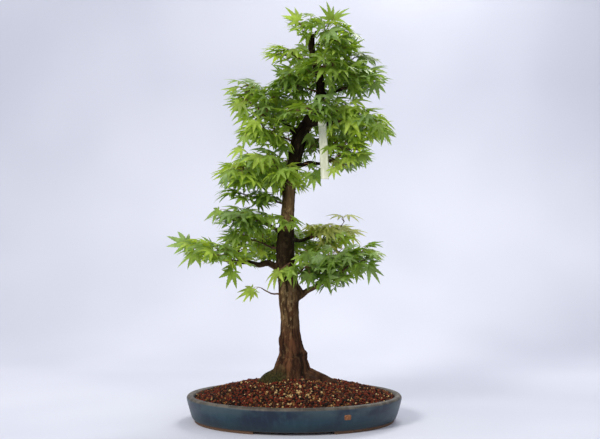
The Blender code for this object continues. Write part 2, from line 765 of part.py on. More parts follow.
    def fused(self, cutter, fat):
        """The stem, twigs and leaves as one body, clear of the trunk."""
        stem, *others = self.twigs
        parts = [tube("twig", twig) for twig in others]
        for leaf in self.leaves:
            bm = bmesh.new()
            leaf_faces(bm, leaf, fat=fat)
            parts.append(mesh_object("leaf", bm))
        body = boolean(tube("stem", stem), "UNION", parts, "MANIFOLD")
        if self.on_trunk:
            body = boolean(body, "DIFFERENCE", [copy_of(cutter)])
        drop_scraps(body)
        return body

    def build(self, cutter):
        """Makes the mass. Where it does not fuse cleanly its leaves get thicker, then fewer."""
        tries = 1
        body = self.fused(cutter, 1.0)
        while not is_sound(body):
            bpy.data.objects.remove(body)
            if tries % FUSE_TRIES == 0:
                self.leaves.pop()
            body = self.fused(cutter, 1 + FUSE_STEP * (tries % FUSE_TRIES))
            tries += 1
        return finish_piece(body, self.name, "leaf", smooth=False)


def nearest_rows(route, across):
    """The route's point nearest to a place along X, with the ones before and after it."""
    k = min(range(1, len(route) - 1), key=lambda row: abs(route[row][0].x - across))
    return route[k - 1 : k + 2]


def label():
    """A bare plastic strip that hangs in a loop over its bough."""
    route = bough_route("bough_upper_right")
    before, near, after = nearest_rows(route, LABEL_AT)
    centre, radius = near
    inside = radius + LABEL_SLACK
    outside = inside + LABEL_THICKNESS
    half = LABEL_THICKNESS / 2
    curve = bpy.data.curves.new("label", "CURVE")
    curve.dimensions = "2D"
    curve.fill_mode = "BOTH"
    curve.extrude = LABEL_WIDTH / 2
    opening = math.asin(half / outside)
    swept = 2 * math.pi - 2 * opening
    turns = [opening + swept * k / LABEL_LOOP_SIDES for k in range(LABEL_LOOP_SIDES + 1)]
    outer = [(outside * math.sin(t), -outside * math.cos(t)) for t in turns]
    outer += [(-half, -LABEL_LENGTH), (half, -LABEL_LENGTH)]
    inner = [2 * math.pi * k / LABEL_LOOP_SIDES for k in range(LABEL_LOOP_SIDES)]
    hole = [(inside * math.sin(t), -inside * math.cos(t)) for t in inner]
    for outline in (outer, hole):
        spline = curve.splines.new("POLY")
        spline.points.add(len(outline) - 1)
        for point, (x, y) in zip(spline.points, outline):
            point.co = (x, y, 0, 1)
        spline.use_cyclic_u = True
    strip = place(bpy.data.objects.new("label", curve))
    along = (after[0] - before[0]).normalized()
    up = (UP - along * UP.dot(along)).normalized()
    turn = Matrix((up.cross(along), up, along)).transposed()
    strip.matrix_world = Matrix.Translation(centre - up * LABEL_DROP) @ turn.to_4x4()
    bpy.context.view_layer.update()
    return finish_piece(as_mesh(strip), "label_strip", "label", smooth=False)


def build():
    grown_trunk = trunk_body(CLEAR)
    finish_piece(trunk_body(), "trunk", "bark")
    pot()
    soil(copy_of(grown_trunk))
    for name in BOUGHS:
        limb = boolean(tube(name, bough_route(name), BOUGH_BEVEL), "DIFFERENCE", [copy_of(grown_trunk)])
        finish_piece(limb, name, "bark")
    strip = label()
    taken = [limb_tree(TRUNK_ROUTE, LIMB_ROOM)]
    taken += [limb_tree(bough_route(name), LIMB_ROOM) for name in BOUGHS]
    bm = bmesh.new()
    bm.from_mesh(strip.data)
    bm.transform(strip.matrix_world)
    bmesh.ops.triangulate(bm, faces=bm.faces)
    taken.append(tree_of(bm))
    for seed, name in enumerate(MASSES):
        mass = Mass(name, seed)
        taken += mass.grow(taken)
        mass.build(grown_trunk)
        print(name, len(mass.leaves), "leaves of", mass.asked + 1)
    bpy.data.objects.remove(grown_trunk)


build()
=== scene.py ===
import math
import random

import bmesh
import bpy
import numpy as np
from mathutils import Matrix, Vector, noise
from mathutils.bvhtree import BVHTree


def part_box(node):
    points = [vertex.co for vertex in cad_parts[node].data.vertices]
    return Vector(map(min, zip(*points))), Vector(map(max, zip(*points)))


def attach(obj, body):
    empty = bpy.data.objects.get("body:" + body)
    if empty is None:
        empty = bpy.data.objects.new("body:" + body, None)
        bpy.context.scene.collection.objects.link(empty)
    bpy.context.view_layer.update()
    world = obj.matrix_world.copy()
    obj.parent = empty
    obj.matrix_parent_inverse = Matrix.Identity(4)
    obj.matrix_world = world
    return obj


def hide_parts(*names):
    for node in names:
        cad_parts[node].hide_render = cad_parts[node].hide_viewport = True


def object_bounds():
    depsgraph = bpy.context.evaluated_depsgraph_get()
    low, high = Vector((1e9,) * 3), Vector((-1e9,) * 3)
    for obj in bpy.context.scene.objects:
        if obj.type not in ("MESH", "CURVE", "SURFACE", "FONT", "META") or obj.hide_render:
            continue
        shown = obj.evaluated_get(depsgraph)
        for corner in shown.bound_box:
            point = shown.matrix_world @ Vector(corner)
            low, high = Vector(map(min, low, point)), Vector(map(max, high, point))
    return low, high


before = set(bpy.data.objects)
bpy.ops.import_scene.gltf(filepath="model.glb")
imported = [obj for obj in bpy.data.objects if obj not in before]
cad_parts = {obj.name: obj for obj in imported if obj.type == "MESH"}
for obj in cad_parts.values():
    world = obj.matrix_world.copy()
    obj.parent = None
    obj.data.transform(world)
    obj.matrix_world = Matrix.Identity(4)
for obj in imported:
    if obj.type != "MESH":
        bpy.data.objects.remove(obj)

# Japanese maple bonsai. Metres. Each piece below is laid out from the middle of the pot, called home.
cadBox = [list(corner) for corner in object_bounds()]
up = Vector((0, 0, 1))
potLow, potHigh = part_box("pot")
home = Vector(((potLow.x + potHigh.x) / 2, (potLow.y + potHigh.y) / 2, 0))
halfLong = (potHigh.x - potLow.x) / 2
halfDeep = (potHigh.y - potLow.y) / 2


# Materials

def paint(red, green, blue):  # a colour as it looks on a screen, 0 to 255, made linear
    return tuple(((c / 255 + 0.055) / 1.055) ** 2.4 for c in (red, green, blue)) + (1.0,)


class Wire:  # a material socket that can be used in plain maths
    def __init__(self, tree, socket):
        self.tree = tree
        self.socket = socket

    def maths(self, operation, first, second):
        step = self.tree.nodes.new("ShaderNodeMath")
        step.operation = operation
        for socket, value in zip(step.inputs, (first, second)):
            plug(self.tree, socket, value)
        return Wire(self.tree, step.outputs[0])

    def __add__(self, other):
        return self.maths("ADD", self, other)

    def __radd__(self, other):
        return self.maths("ADD", other, self)

    def __sub__(self, other):
        return self.maths("SUBTRACT", self, other)

    def __rsub__(self, other):
        return self.maths("SUBTRACT", other, self)

    def __mul__(self, other):
        return self.maths("MULTIPLY", self, other)

    def __rmul__(self, other):
        return self.maths("MULTIPLY", other, self)


def plug(tree, socket, value):
    if isinstance(value, Wire):
        tree.links.new(value.socket, socket)
    else:
        socket.default_value = value


class Finish:  # a material with its Principled shader
    def __init__(self, name, **fixed):
        self.material = bpy.data.materials.new(name)
        self.material.use_nodes = True
        self.tree = self.material.node_tree
        self.shader = self.tree.nodes["Principled BSDF"]
        for word, value in fixed.items():
            self.shader.inputs[word.replace("_", " ")].default_value = value
        self.place = self.node("ShaderNodeTexCoord", out="Object")  # where a point of it is, in metres

    def node(self, kind, settings=None, sockets=None, out=0):
        made = self.tree.nodes.new(kind)
        for word, value in (settings or {}).items():
            setattr(made, word, value)
        for key, value in (sockets or {}).items():
            plug(self.tree, made.inputs[key], value)
        return Wire(self.tree, made.outputs[out])

    def axis(self, letter):
        return self.node("ShaderNodeSeparateXYZ", {}, {0: self.place}, out=letter)

    def noise(self, scale, detail=3.0, roughness=0.55):  # the scale is one number, or one for each axis
        scale = scale if isinstance(scale, tuple) else (scale, scale, scale)
        spot = self.node("ShaderNodeVectorMath", {"operation": "MULTIPLY"}, {0: self.place, 1: scale})
        grain = {"Vector": spot, "Scale": 1.0, "Detail": detail, "Roughness": roughness}
        return self.node("ShaderNodeTexNoise", {}, grain)

    def ease(self, value, low, high):  # 0 below low, 1 above high, smooth between
        span = {"From Min": low, "From Max": high, "Value": value}
        return self.node("ShaderNodeMapRange", {"interpolation_type": "SMOOTHSTEP"}, span)

    def mix(self, share, one, two):  # colours
        return self.node("ShaderNodeMix", {"data_type": "RGBA"}, {0: share, 6: one, 7: two}, out=2)

    def blend(self, value, low, high, one, two):  # one paint below low, the other above high
        return self.mix(self.ease(value, low, high), paint(*one), paint(*two))

    def bump(self, height, strength, depth):
        return self.node("ShaderNodeBump", {}, {"Strength": strength, "Distance": depth, "Height": height})

    def show(self, **sockets):
        for word, value in sockets.items():
            plug(self.tree, self.shader.inputs[word.replace("_", " ")], value)
        return self.material


# Shapes

def inScene(name, data):  # a new object in the scene
    made = bpy.data.objects.new(name, data)
    bpy.context.scene.collection.objects.link(made)
    return made


def addMesh(name, points, faces, finishes, faceFinish=None, smoothTo=None):
    mesh = bpy.data.meshes.new(name)
    mesh.from_pydata([tuple(p) for p in points], [], faces)
    for finish in finishes:
        mesh.materials.append(finish)
    if faceFinish is not None:
        mesh.polygons.foreach_set("material_index", np.asarray(faceFinish, dtype=np.int32))
    if smoothTo:
        mesh.shade_smooth()
        mesh.set_sharp_from_angle(angle=math.radians(smoothTo))
    mesh.transform(Matrix.Translation(home))
    return inScene(name, mesh)


def settle(piece, slot, *nodes):
    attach(piece, "root")
    if nodes:
        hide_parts(*nodes)
    return piece


def evaluated(piece):  # the mesh that an object's modifiers give
    graph = bpy.context.evaluated_depsgraph_get()
    return bpy.data.meshes.new_from_object(piece.evaluated_get(graph), depsgraph=graph)


def faceOut(piece, weld=0):  # turns every face outward, with points this close made one
    bm = bmesh.new()
    bm.from_mesh(piece.data)
    if weld:
        bmesh.ops.remove_doubles(bm, verts=bm.verts, dist=weld)
    bmesh.ops.recalc_face_normals(bm, faces=bm.faces)
    bm.to_mesh(piece.data)
    bm.free()


def boxShape(low, high):
    points = [Vector((x, y, z)) for x in (low.x, high.x) for y in (low.y, high.y) for z in (low.z, high.z)]
    return points, [(0, 1, 3, 2), (4, 6, 7, 5), (0, 4, 5, 1), (2, 3, 7, 6), (0, 2, 6, 4), (1, 5, 7, 3)]


def ringFaces(first, rings, sides):  # between rings of points that follow each other in a list
    faces = []
    for low in range(first, first + (rings - 1) * sides, sides):
        for s in range(sides):
            after = (s + 1) % sides
            faces.append((low + s, low + after, low + sides + after, low + sides + s))
    return faces


def smoothCurve(rows, stepsFor):  # through all rows but the first and the last, which only lead in and out
    curve = []
    for before, start, end, after in zip(rows, rows[1:], rows[2:], rows[3:]):
        steps = stepsFor(start, end)
        for k in range(steps):
            t = k / steps
            slope = (end - before) * t
            bow = (2 * before - 5 * start + 4 * end - after) * t**2
            twist = (3 * start - before - 3 * end + after) * t**3
            curve.append(0.5 * (2 * start + slope + bow + twist))
    return [*curve, rows[-2]]


def smoothRoute(stations, step):  # points with radii on a smooth curve through the stations
    rows = [Vector(row) for row in stations]
    rows = [2 * rows[0] - rows[1], *rows, 2 * rows[-1] - rows[-2]]
    curve = smoothCurve(rows, lambda start, end: max(1, round((end - start).to_3d().length / step)))
    return [(row.to_3d(), row[3]) for row in curve]


def shellRound(route, sides, points, faces):  # adds a closed tapering limb to two lists
    across = None
    first = len(points)
    for k, (point, radius) in enumerate(route):
        ahead = (route[min(k + 1, len(route) - 1)][0] - route[max(k - 1, 0)][0]).normalized()
        across = ahead.orthogonal() if across is None else across - ahead * across.dot(ahead)
        across.normalize()
        over = ahead.cross(across)
        for s in range(sides):
            turn = 2 * math.pi * s / sides
            points.append(point + (across * math.cos(turn) + over * math.sin(turn)) * radius)
    faces += ringFaces(first, len(route), sides)
    faces.append(tuple(reversed(range(first, first + sides))))
    faces.append(tuple(range(len(points) - sides, len(points))))


# Trunk, roots and boughs

bark = {
    "sides": 36,
    "limbSides": 16,
    "step": 0.006,
    "voxel": 0.0017,
    "smoothing": 8,
    # the trunk's middle line and radius: across, deep, height, radius
    "line": (
        (-0.004, 0.000, 0.056, 0.046),
        (-0.004, 0.000, 0.072, 0.044),
        (-0.0045, 0.000, 0.084, 0.041),
        (-0.0048, 0.000, 0.094, 0.0395),
        (-0.0046, 0.000, 0.104, 0.0372),
        (-0.0046, 0.000, 0.115, 0.0345),
        (-0.0046, 0.000, 0.126, 0.0308),
        (-0.0046, 0.000, 0.137, 0.027),
        (-0.0065, 0.000, 0.154, 0.0238),
        (-0.0087, 0.000, 0.178, 0.0213),
        (-0.0082, 0.000, 0.193, 0.0196),
        (-0.0091, -0.001, 0.216, 0.0186),
        (-0.0108, -0.002, 0.242, 0.0196),
        (-0.0114, -0.003, 0.2685, 0.0208),
        (-0.0169, -0.004, 0.3116, 0.0199),
        (-0.0177, -0.004, 0.336, 0.0193),
        (-0.0177, -0.002, 0.369, 0.019),
        (-0.0147, 0.001, 0.404, 0.0145),
        (-0.0124, 0.003, 0.4387, 0.0123),
        (-0.0108, 0.005, 0.4715, 0.0139),
        (-0.0042, 0.006, 0.5064, 0.0119),
        (0.0019, 0.006, 0.539, 0.0144),
        (0.0087, 0.006, 0.574, 0.0158),
        (0.0155, 0.005, 0.588, 0.0149),
        (0.0272, 0.004, 0.607, 0.0134),
        (0.0405, 0.002, 0.631, 0.0113),
        (0.0515, 0.000, 0.657, 0.0096),
        (0.054, -0.004, 0.691, 0.0094),
        (0.045, -0.007, 0.726, 0.0078),
        (0.0355, -0.009, 0.7585, 0.0072),
        (0.038, -0.012, 0.786, 0.0046),
    ),
    # surface roots: compass heading in degrees, reach, radius
    "roots": (
        (190, 0.084, 0.0185),
        (222, 0.074, 0.015),
        (256, 0.068, 0.0145),
        (292, 0.072, 0.015),
        (324, 0.084, 0.014),
        (350, 0.11, 0.0175),
        (24, 0.088, 0.016),
        (58, 0.08, 0.016),
        (94, 0.076, 0.017),
        (128, 0.08, 0.015),
        (160, 0.078, 0.015),
    ),
    # a root's way: share of its reach, height and share of its radius
    "rootRun": (
        (0.14, 0.1, 0.8),
        (0.34, 0.09, 0.95),
        (0.58, 0.081, 0.88),
        (0.8, 0.071, 0.66),
        (1.00, 0.06, 0.4),
    ),
    # old pruning scars: middle, radius and height over width
    "scars": (
        ((0.012, -0.006, 0.135), 0.017, 0.85),
        ((-0.0255, -0.005, 0.163), 0.009, 1.9),
        ((-0.0275, 0.004, 0.132), 0.0058, 1.3),
        ((-0.001, -0.013, 0.25), 0.011, 1.2),
        ((0.006, -0.012, 0.118), 0.017, 0.9),
        ((-0.024, -0.014, 0.112), 0.015, 1.1),
        ((0.006, -0.004, 0.262), 0.012, 1.3),
    ),
    "scarFrom": 2,  # how finely a scar is cut before it melts into the skin
    "crease": 0.1345,  # height of the fold round the foot
    "foldHalf": 0.0034,
    "foldDeep": 0.0022,
    "lumpHigh": 0.002,
    "fineHigh": 0.0004,
    "plateHigh": 0.0007,
    "fissureDeep": 0.0016,
    "footTop": 0.12,
    "onBoughs": 0.35,  # the share of the relief that the boughs have
}

# Boughs: height on the trunk, radius there and at the end, bends.
boughs = {
    "lower_right": (0.246, 0.0082, 0.0042, (0.014, -0.006, 0.256), (0.027, -0.01, 0.266),
        (0.04, -0.013, 0.272), (0.056, -0.016, 0.281)),
    "lower_left": (0.308, 0.0088, 0.0048, (-0.037, -0.002, 0.314), (-0.054, -0.004, 0.3225),
        (-0.072, -0.006, 0.318), (-0.094, -0.01, 0.3235), (-0.118, -0.014, 0.324)),
    "lower_back": (0.333, 0.0074, 0.0042, (-0.014, 0.024, 0.337), (-0.01, 0.05, 0.346),
        (-0.004, 0.082, 0.352)),
    "back_right": (0.37, 0.0058, 0.0038, (0.000, 0.014, 0.369), (0.014, 0.034, 0.367),
        (0.034, 0.052, 0.374)),
    "left": (0.383, 0.0074, 0.0042, (-0.034, -0.003, 0.388), (-0.05, -0.004, 0.3985),
        (-0.07, -0.008, 0.408)),
    "middle_back": (0.478, 0.0058, 0.0038, (-0.013, 0.022, 0.483), (-0.022, 0.044, 0.493),
        (-0.03, 0.068, 0.503)),
    "right": (0.516, 0.0058, 0.0038, (0.016, 0.011, 0.523), (0.032, 0.014, 0.5285),
        (0.052, 0.013, 0.526), (0.076, 0.012, 0.532)),
    "upper_left": (0.582, 0.0082, 0.0044, (-0.005, 0.001, 0.596), (-0.022, -0.004, 0.61),
        (-0.038, -0.005, 0.6135), (-0.056, -0.008, 0.621)),
    "upper_back": (0.593, 0.006, 0.0038, (0.022, 0.02, 0.6), (0.028, 0.042, 0.611),
        (0.036, 0.066, 0.62)),
    "upper_right": (0.603, 0.006, 0.004, (0.042, -0.008, 0.606), (0.064, -0.013, 0.6055),
        (0.092, -0.014, 0.61)),
    "high_right": (0.66, 0.0052, 0.0036, (0.064, -0.002, 0.666), (0.08, -0.004, 0.6725),
        (0.098, -0.006, 0.678)),
}


def trunkAt(height):
    for (low, lowRadius), (high, highRadius) in zip(trunkRoute, trunkRoute[1:]):
        if low.z <= height <= high.z:
            share = (height - low.z) / (high.z - low.z)
            return low.lerp(high, share), lowRadius + (highRadius - lowRadius) * share
    return trunkRoute[-1]


trunkRoute = smoothRoute(bark["line"], bark["step"])


def rootRoute(heading, reach, radius):
    turn = math.radians(heading)
    out = Vector((math.cos(turn), math.sin(turn), 0))
    side = Vector((-out.y, out.x, 0))
    middle = trunkAt(0.06)[0]
    stations = []
    for k, (share, height, width) in enumerate(bark["rootRun"]):
        sway = 0.006 * math.sin(heading * 1.7 + k * 1.3) * share
        point = middle + out * (reach * share) + side * sway
        stations.append((point.x, point.y, height, radius * width))
    return smoothRoute(stations, bark["step"])


def boughRoute(name):
    height, thick, thin, *bends = boughs[name]
    stations = [(*trunkAt(height)[0], thick * 1.25)]
    for k, bend in enumerate(bends):
        share = ((k + 1) / len(bends)) ** 0.7
        stations.append((*bend, thick + (thin - thick) * share))
    return smoothRoute(stations, bark["step"])


def barkFinish():
    f = Finish("maple_bark", Specular_IOR_Level=0.1)
    height, across = f.axis("Z"), f.axis("X")
    depth = f.node("ShaderNodeAttribute", {"attribute_name": "relief"}, out="Fac")
    streaks = f.noise((70, 70, 16), 5.0, 0.6)
    patches = f.noise((26, 26, 15), 3.0)
    specks = f.noise((420, 420, 260), 3.0)
    flakes = f.noise((150, 150, 85), 4.0, 0.6)
    right = f.ease(across, home.x - 0.012, home.x + 0.006)  # the side away from the light
    reddish = 1 - f.ease(height, 0.165, 0.225)
    # a band of flaky bark where the trunk shows between the foliage: the crown's painted shade and the
    # painted shade of the side away from the light are lifted there, which paints light on it
    litFlakyBand = f.ease(height, 0.385, 0.4) * (1 - f.ease(height, 0.475, 0.51))
    # painted shade of the crown, on the trunk from about 0.3 m up
    shaded = f.ease(height, 0.275, 0.335) * (1 - 0.8 * litFlakyBand)
    colour = f.blend(streaks, 0.36, 0.62, (46, 32, 18), (118, 94, 64))
    colour = f.mix(f.ease(patches, 0.48, 0.62) * 0.5, colour, paint(88, 58, 38))
    foot = f.blend(streaks, 0.36, 0.64, (36, 20, 13), (98, 58, 38))
    colour = f.mix(reddish * 0.8, colour, foot)
    # painted shade: the side away from the light is painted darker
    colour = f.mix(right * (1 - litFlakyBand) * 0.5, colour, paint(50, 32, 22))
    # painted shade: the upper trunk under the crown is painted almost black
    colour = f.mix(shaded * 0.9, colour, paint(17, 12, 4))
    # painted shade in the bark's fissures and in the fold round the foot
    colour = f.mix(f.ease(depth, 0.3, 0.85) * 0.75, colour, paint(22, 14, 9))
    # pale bark flakes, left mostly off the side away from the light and out of the crown's painted shade, so
    # that the painted shade stays dark
    pale = (1 - right) * (1 - shaded) * (1 - 0.8 * reddish)
    colour = f.mix(f.ease(flakes, 0.54, 0.62) * (0.06 + 0.5 * pale), colour, paint(156, 132, 94))
    left = 1 - f.ease(across, home.x - 0.03, home.x - 0.004)
    low = 1 - f.ease(height, 0.096, 0.122)
    moss = left * low * f.ease(patches, 0.3, 0.46)
    colour = f.mix(moss * 0.88, colour, f.blend(specks, 0.4, 0.66, (26, 30, 14), (62, 62, 32)))
    rough = 0.8 + 0.18 * specks
    relief = streaks * 0.6 + specks * 0.4
    return f.show(Base_Color=colour, Roughness=rough, Normal=f.bump(relief, 0.55, 0.0012))


def barkRelief(point):  # how far bark stands in or out there, in metres, and how deep a fissure or fold it is, which is painted as shade
    middle, radius = trunkAt(max(point.z, bark["line"][0][2]))
    away = Vector((point.x - middle.x, point.y - middle.y, 0))
    onTrunk = 1.0 if away.length < radius * 1.5 + 0.004 or point.z < bark["footTop"] else bark["onBoughs"]
    turn = away.normalized() if away.length > 0 else away
    warp = 0.5 * noise.noise(point * 34)
    grain = Vector((turn.x * 4.6 + warp, turn.y * 4.6, point.z * 21 + 0.6 * warp))
    fissure = max(0.0, -noise.noise(grain) * 2.2)
    plates = noise.noise(Vector((turn.x * 9.0, turn.y * 9.0 + warp, point.z * 52)))
    lumps = noise.fractal(Vector((away.x * 24, away.y * 24, point.z * 11)), 0.9, 2.1, 3)
    fine = noise.noise(Vector((away.x * 260, away.y * 260, point.z * 160)))
    rise = bark["lumpHigh"] * lumps + bark["fineHigh"] * fine + bark["plateHigh"] * plates
    rise -= bark["fissureDeep"] * fissure
    crease = bark["crease"] + 0.004 * noise.noise(Vector((point.x * 40, 0, 0)))
    fold = math.exp(-(((point.z - crease) / bark["foldHalf"]) ** 2)) * min(1.0, max(0.0, -away.y / 0.01))
    return onTrunk * rise - bark["foldDeep"] * fold, min(1.0, fissure * (0.6 + 0.4 * onTrunk) + 0.6 * fold)


def buildBark():
    points, faces = [], []
    shellRound(trunkRoute, bark["sides"], points, faces)
    for row in bark["roots"]:
        shellRound(rootRoute(*row), bark["limbSides"], points, faces)
    for name in boughs:
        shellRound(boughRoute(name), bark["limbSides"], points, faces)
    rough = addMesh("bark_core", points, faces, [])
    for middle, radius, tall in bark["scars"]:
        bm = bmesh.new()
        bm.from_mesh(rough.data)
        for vert in bmesh.ops.create_icosphere(bm, subdivisions=bark["scarFrom"], radius=radius)["verts"]:
            vert.co = Vector((vert.co.x, vert.co.y, vert.co.z * tall)) + Vector(middle) + home
        bm.to_mesh(rough.data)
        bm.free()
    remesh = rough.modifiers.new("one skin", "REMESH")
    remesh.mode = "VOXEL"
    remesh.voxel_size = bark["voxel"]
    even = rough.modifiers.new("even", "SMOOTH")
    even.iterations = bark["smoothing"]
    mesh = evaluated(rough)
    bpy.data.objects.remove(rough)
    depths = []
    for vert, normal in zip(mesh.vertices, [vert.normal.copy() for vert in mesh.vertices]):
        rise, depth = barkRelief(vert.co - home)
        vert.co += normal * rise
        depths.append(depth)
    mesh.attributes.new("relief", "FLOAT", "POINT").data.foreach_set("value", depths)
    mesh.name = "trunk_and_boughs"
    mesh.materials.clear()
    mesh.materials.append(barkFinish())
    mesh.shade_smooth()
    return settle(inScene(mesh.name, mesh), "bark", "trunk", *("bough_" + name for name in boughs))


barkPiece = buildBark()
print("bark", len(barkPiece.data.polygons), "faces")


# Pot

pot = {
    "sides": 240,
    "perSpan": 4,
    "wobble": 0.0004,
    "notchHalf": 0.078,
    "notchTop": 0.0056,
    # from inside, over the lip and down to the foot: inset from the rim, height
    "wall": (
        (0.0275, 0.015),
        (0.0185, 0.038),
        (0.015, 0.049),
        (0.0128, 0.0526),
        (0.0095, 0.0542),
        (0.006, 0.0543),
        (0.0028, 0.0532),
        (0.0008, 0.0508),
        (0.0001, 0.0475),
        (0.0018, 0.0395),
        (0.0045, 0.029),
        (0.0088, 0.014),
        (0.012, 0.0078),
        (0.0147, 0.0056),
    ),
    # the foot's corners, which stay crisp
    "foot": (
        (0.0156, 0.005),
        (0.0162, 0.001),
        (0.0172, 0.0000),
        (0.0278, 0.0000),
        (0.0286, 0.001),
        (0.029, 0.006),
    ),
    "outerFrom": 7,  # the row of the wall from which it is the outer side
    "crisp": 38,
    "patchAt": (0.103, 0.0284),  # the bare patch where the glaze stops: across from the middle, and height
    "patchHalf": (0.0064, 0.0051),
    "patchOut": 0.0004,
    "patchSides": 48,
    "patchRings": ((0.0, 0.0), (0.5, 0.0), (0.86, 0.0), (1.0, 0.0006)),  # share of its size, and how far sunk
}


def glazeFinish():
    f = Finish("slate_glaze", Specular_IOR_Level=0.5)
    height = f.axis("Z")
    broad = f.noise((11, 11, 20), 3.0, 0.6)
    runs = f.noise((60, 60, 14), 4.0, 0.6)
    specks = f.noise(380, 2.0)
    colour = f.blend(broad, 0.4, 0.62, (2, 26, 48), (14, 50, 64))
    colour = f.mix(f.ease(runs, 0.48, 0.68) * 0.45, colour, paint(38, 66, 78))
    colour = f.mix((1 - f.ease(height, 0.01, 0.028)) * 0.55, colour, paint(20, 40, 44))
    # the upper wall is lighter and greyer in patches: the glaze's own mottling, and a painted highlight below
    # the lip
    upper = f.ease(height, 0.026, 0.046) * f.ease(broad, 0.42, 0.58)
    colour = f.mix(upper * 0.45, colour, paint(66, 80, 84))
    wornLine = 0.0488 + 0.0035 * (broad - 0.5)
    worn = f.ease(height - wornLine, -0.001, 0.0028)
    lip = f.blend(runs, 0.4, 0.64, (66, 58, 48), (98, 90, 78))
    colour = f.mix(worn * 0.88, colour, lip)
    bare = 1 - f.ease(height + 0.0016 * (broad - 0.5), 0.0056, 0.007)
    clay = f.blend(specks, 0.4, 0.62, (78, 54, 36), (104, 74, 50))
    colour = f.mix(bare, colour, clay)
    colour = f.mix(f.ease(specks, 0.6, 0.74) * 0.3, colour, paint(30, 36, 42))
    rough = 0.36 + 0.3 * bare + 0.22 * worn + 0.12 * specks
    relief = broad * 0.5 + runs * 0.35 + specks * 0.15
    return f.show(Base_Color=colour, Roughness=rough, Normal=f.bump(relief, 0.35, 0.001))


def clayFinish():
    f = Finish("bare_clay", Specular_IOR_Level=0.25)
    grain = f.noise(300, 4.0)
    stain = f.noise(120, 2.0)
    colour = f.blend(grain, 0.36, 0.64, (122, 78, 52), (160, 108, 74))
    colour = f.mix(f.ease(stain, 0.52, 0.7) * 0.6, colour, paint(88, 58, 44))
    return f.show(Base_Color=colour, Roughness=0.75 + 0.2 * grain, Normal=f.bump(grain, 0.5, 0.0006))


def ovalPoint(turn, inset, height):
    return Vector(((halfLong - inset) * math.cos(turn), (halfDeep - inset) * math.sin(turn), height))


def buildPot():
    rows = [Vector(row) for row in pot["wall"]]
    rows = smoothCurve([rows[0], *rows, rows[-1]], lambda start, end: pot["perSpan"])
    profile = [tuple(row) for row in rows] + list(pot["foot"])
    points = []
    sides = pot["sides"]
    for inset, height in profile:
        for s in range(sides):
            point = ovalPoint(2 * math.pi * s / sides, inset, height)
            if height > 0.001:
                sway = pot["wobble"] * noise.noise(point * 28)
                point += Vector((point.x, point.y, 0)).normalized() * (sway - pot["wobble"])
            points.append(point)
    faces = ringFaces(0, len(profile), sides)
    faces += [tuple(range(sides)), tuple(range(len(points) - sides, len(points)))]
    piece = addMesh("glazed_pot", points, faces, [glazeFinish()])
    faceOut(piece)
    reach = Vector((pot["notchHalf"], 1.5 * halfDeep, pot["notchTop"]))
    cutter = addMesh("notch", *boxShape(-reach, reach), [])
    cut = piece.modifiers.new("notch", "BOOLEAN")
    cut.operation = "DIFFERENCE"
    cut.solver = "EXACT"
    cut.object = cutter
    piece.data = evaluated(piece)
    bpy.data.objects.remove(cutter)
    piece.modifiers.clear()
    piece.data.shade_smooth()
    piece.data.set_sharp_from_angle(angle=math.radians(pot["crisp"]))
    return settle(piece, "glaze", "pot")


def wallInset(height):  # how far in the pot's outer wall lies at a height
    rows = pot["wall"][pot["outerFrom"]:]
    for (highInset, high), (lowInset, low) in zip(rows, rows[1:]):
        if low <= height <= high:
            return lowInset + (highInset - lowInset) * (height - low) / (high - low)
    return rows[-1][0]


def buildPatch():
    across, low = pot["patchAt"]
    wide, tall = pot["patchHalf"]
    rings, sides = pot["patchRings"], pot["patchSides"]
    points = []
    for share, sink in rings:
        for s in range(sides):
            turn = 2 * math.pi * s / sides
            squarish = (abs(math.cos(turn)) ** 6 + abs(math.sin(turn)) ** 6) ** (-1 / 6)
            x = across + wide * share * squarish * math.cos(turn)
            z = low + tall + tall * share * squarish * math.sin(turn)
            inset = wallInset(z)
            y = -(halfDeep - inset) * math.sqrt(max(0.0, 1 - (x / (halfLong - inset)) ** 2))
            points.append(Vector((x, y - pot["patchOut"] + sink, z)))
    piece = addMesh("clay_patch", points, ringFaces(0, len(rings), sides), [clayFinish()], smoothTo=40)
    faceOut(piece, weld=0.00001)
    return settle(piece, "glaze")


potPiece = buildPot()
buildPatch()
print("pot", len(potPiece.data.polygons), "faces")


# Soil

soil = {
    "edgeInset": 0.0153,
    "edge": 0.0486,
    "crown": 0.035,
    "rings": 60,
    "sides": 200,
    "lump": 0.0018,
    "lumpSpan": 0.031,
    "heap": (0.011, (0.012, -0.048), (0.04, 0.026)),  # before the foot: height, place and spread
    "sunk": 0.0014,  # how far the bed lies under the grains
    "grains": 8800,
    "least": 0.0014,
    "most": 0.0029,
    # finish of the grains, and how many in a hundred have it in the middle of the front and far from there
    "mix": (
        ("grain_red", 36, 44),
        ("grain_brown", 22, 26),
        ("grain_tan", 18, 9),
        ("grain_cream", 12, 3),
        ("grain_dark", 12, 18),
    ),
    "paleAt": (0.012, -0.07),
    "paleSpread": (0.085, 0.07),
    "clump": (40, 1.6),  # dark grains lie in clumps: how close together and how many more
    "colours": {
        "grain_red": ((122, 48, 28), (72, 28, 18)),
        "grain_brown": ((74, 44, 28), (48, 28, 18)),
        "grain_tan": ((146, 104, 58), (104, 68, 36)),
        "grain_cream": ((206, 178, 126), (168, 134, 86)),
        "grain_dark": ((36, 26, 22), (22, 16, 14)),
        "moss": ((86, 98, 34), (54, 66, 24)),
    },
    "mossAt": (-0.176, 0.052),
    "mossSpread": (0.012, 0.022),
    "mossCount": 420,
    "rimRoom": 0.0022,
}


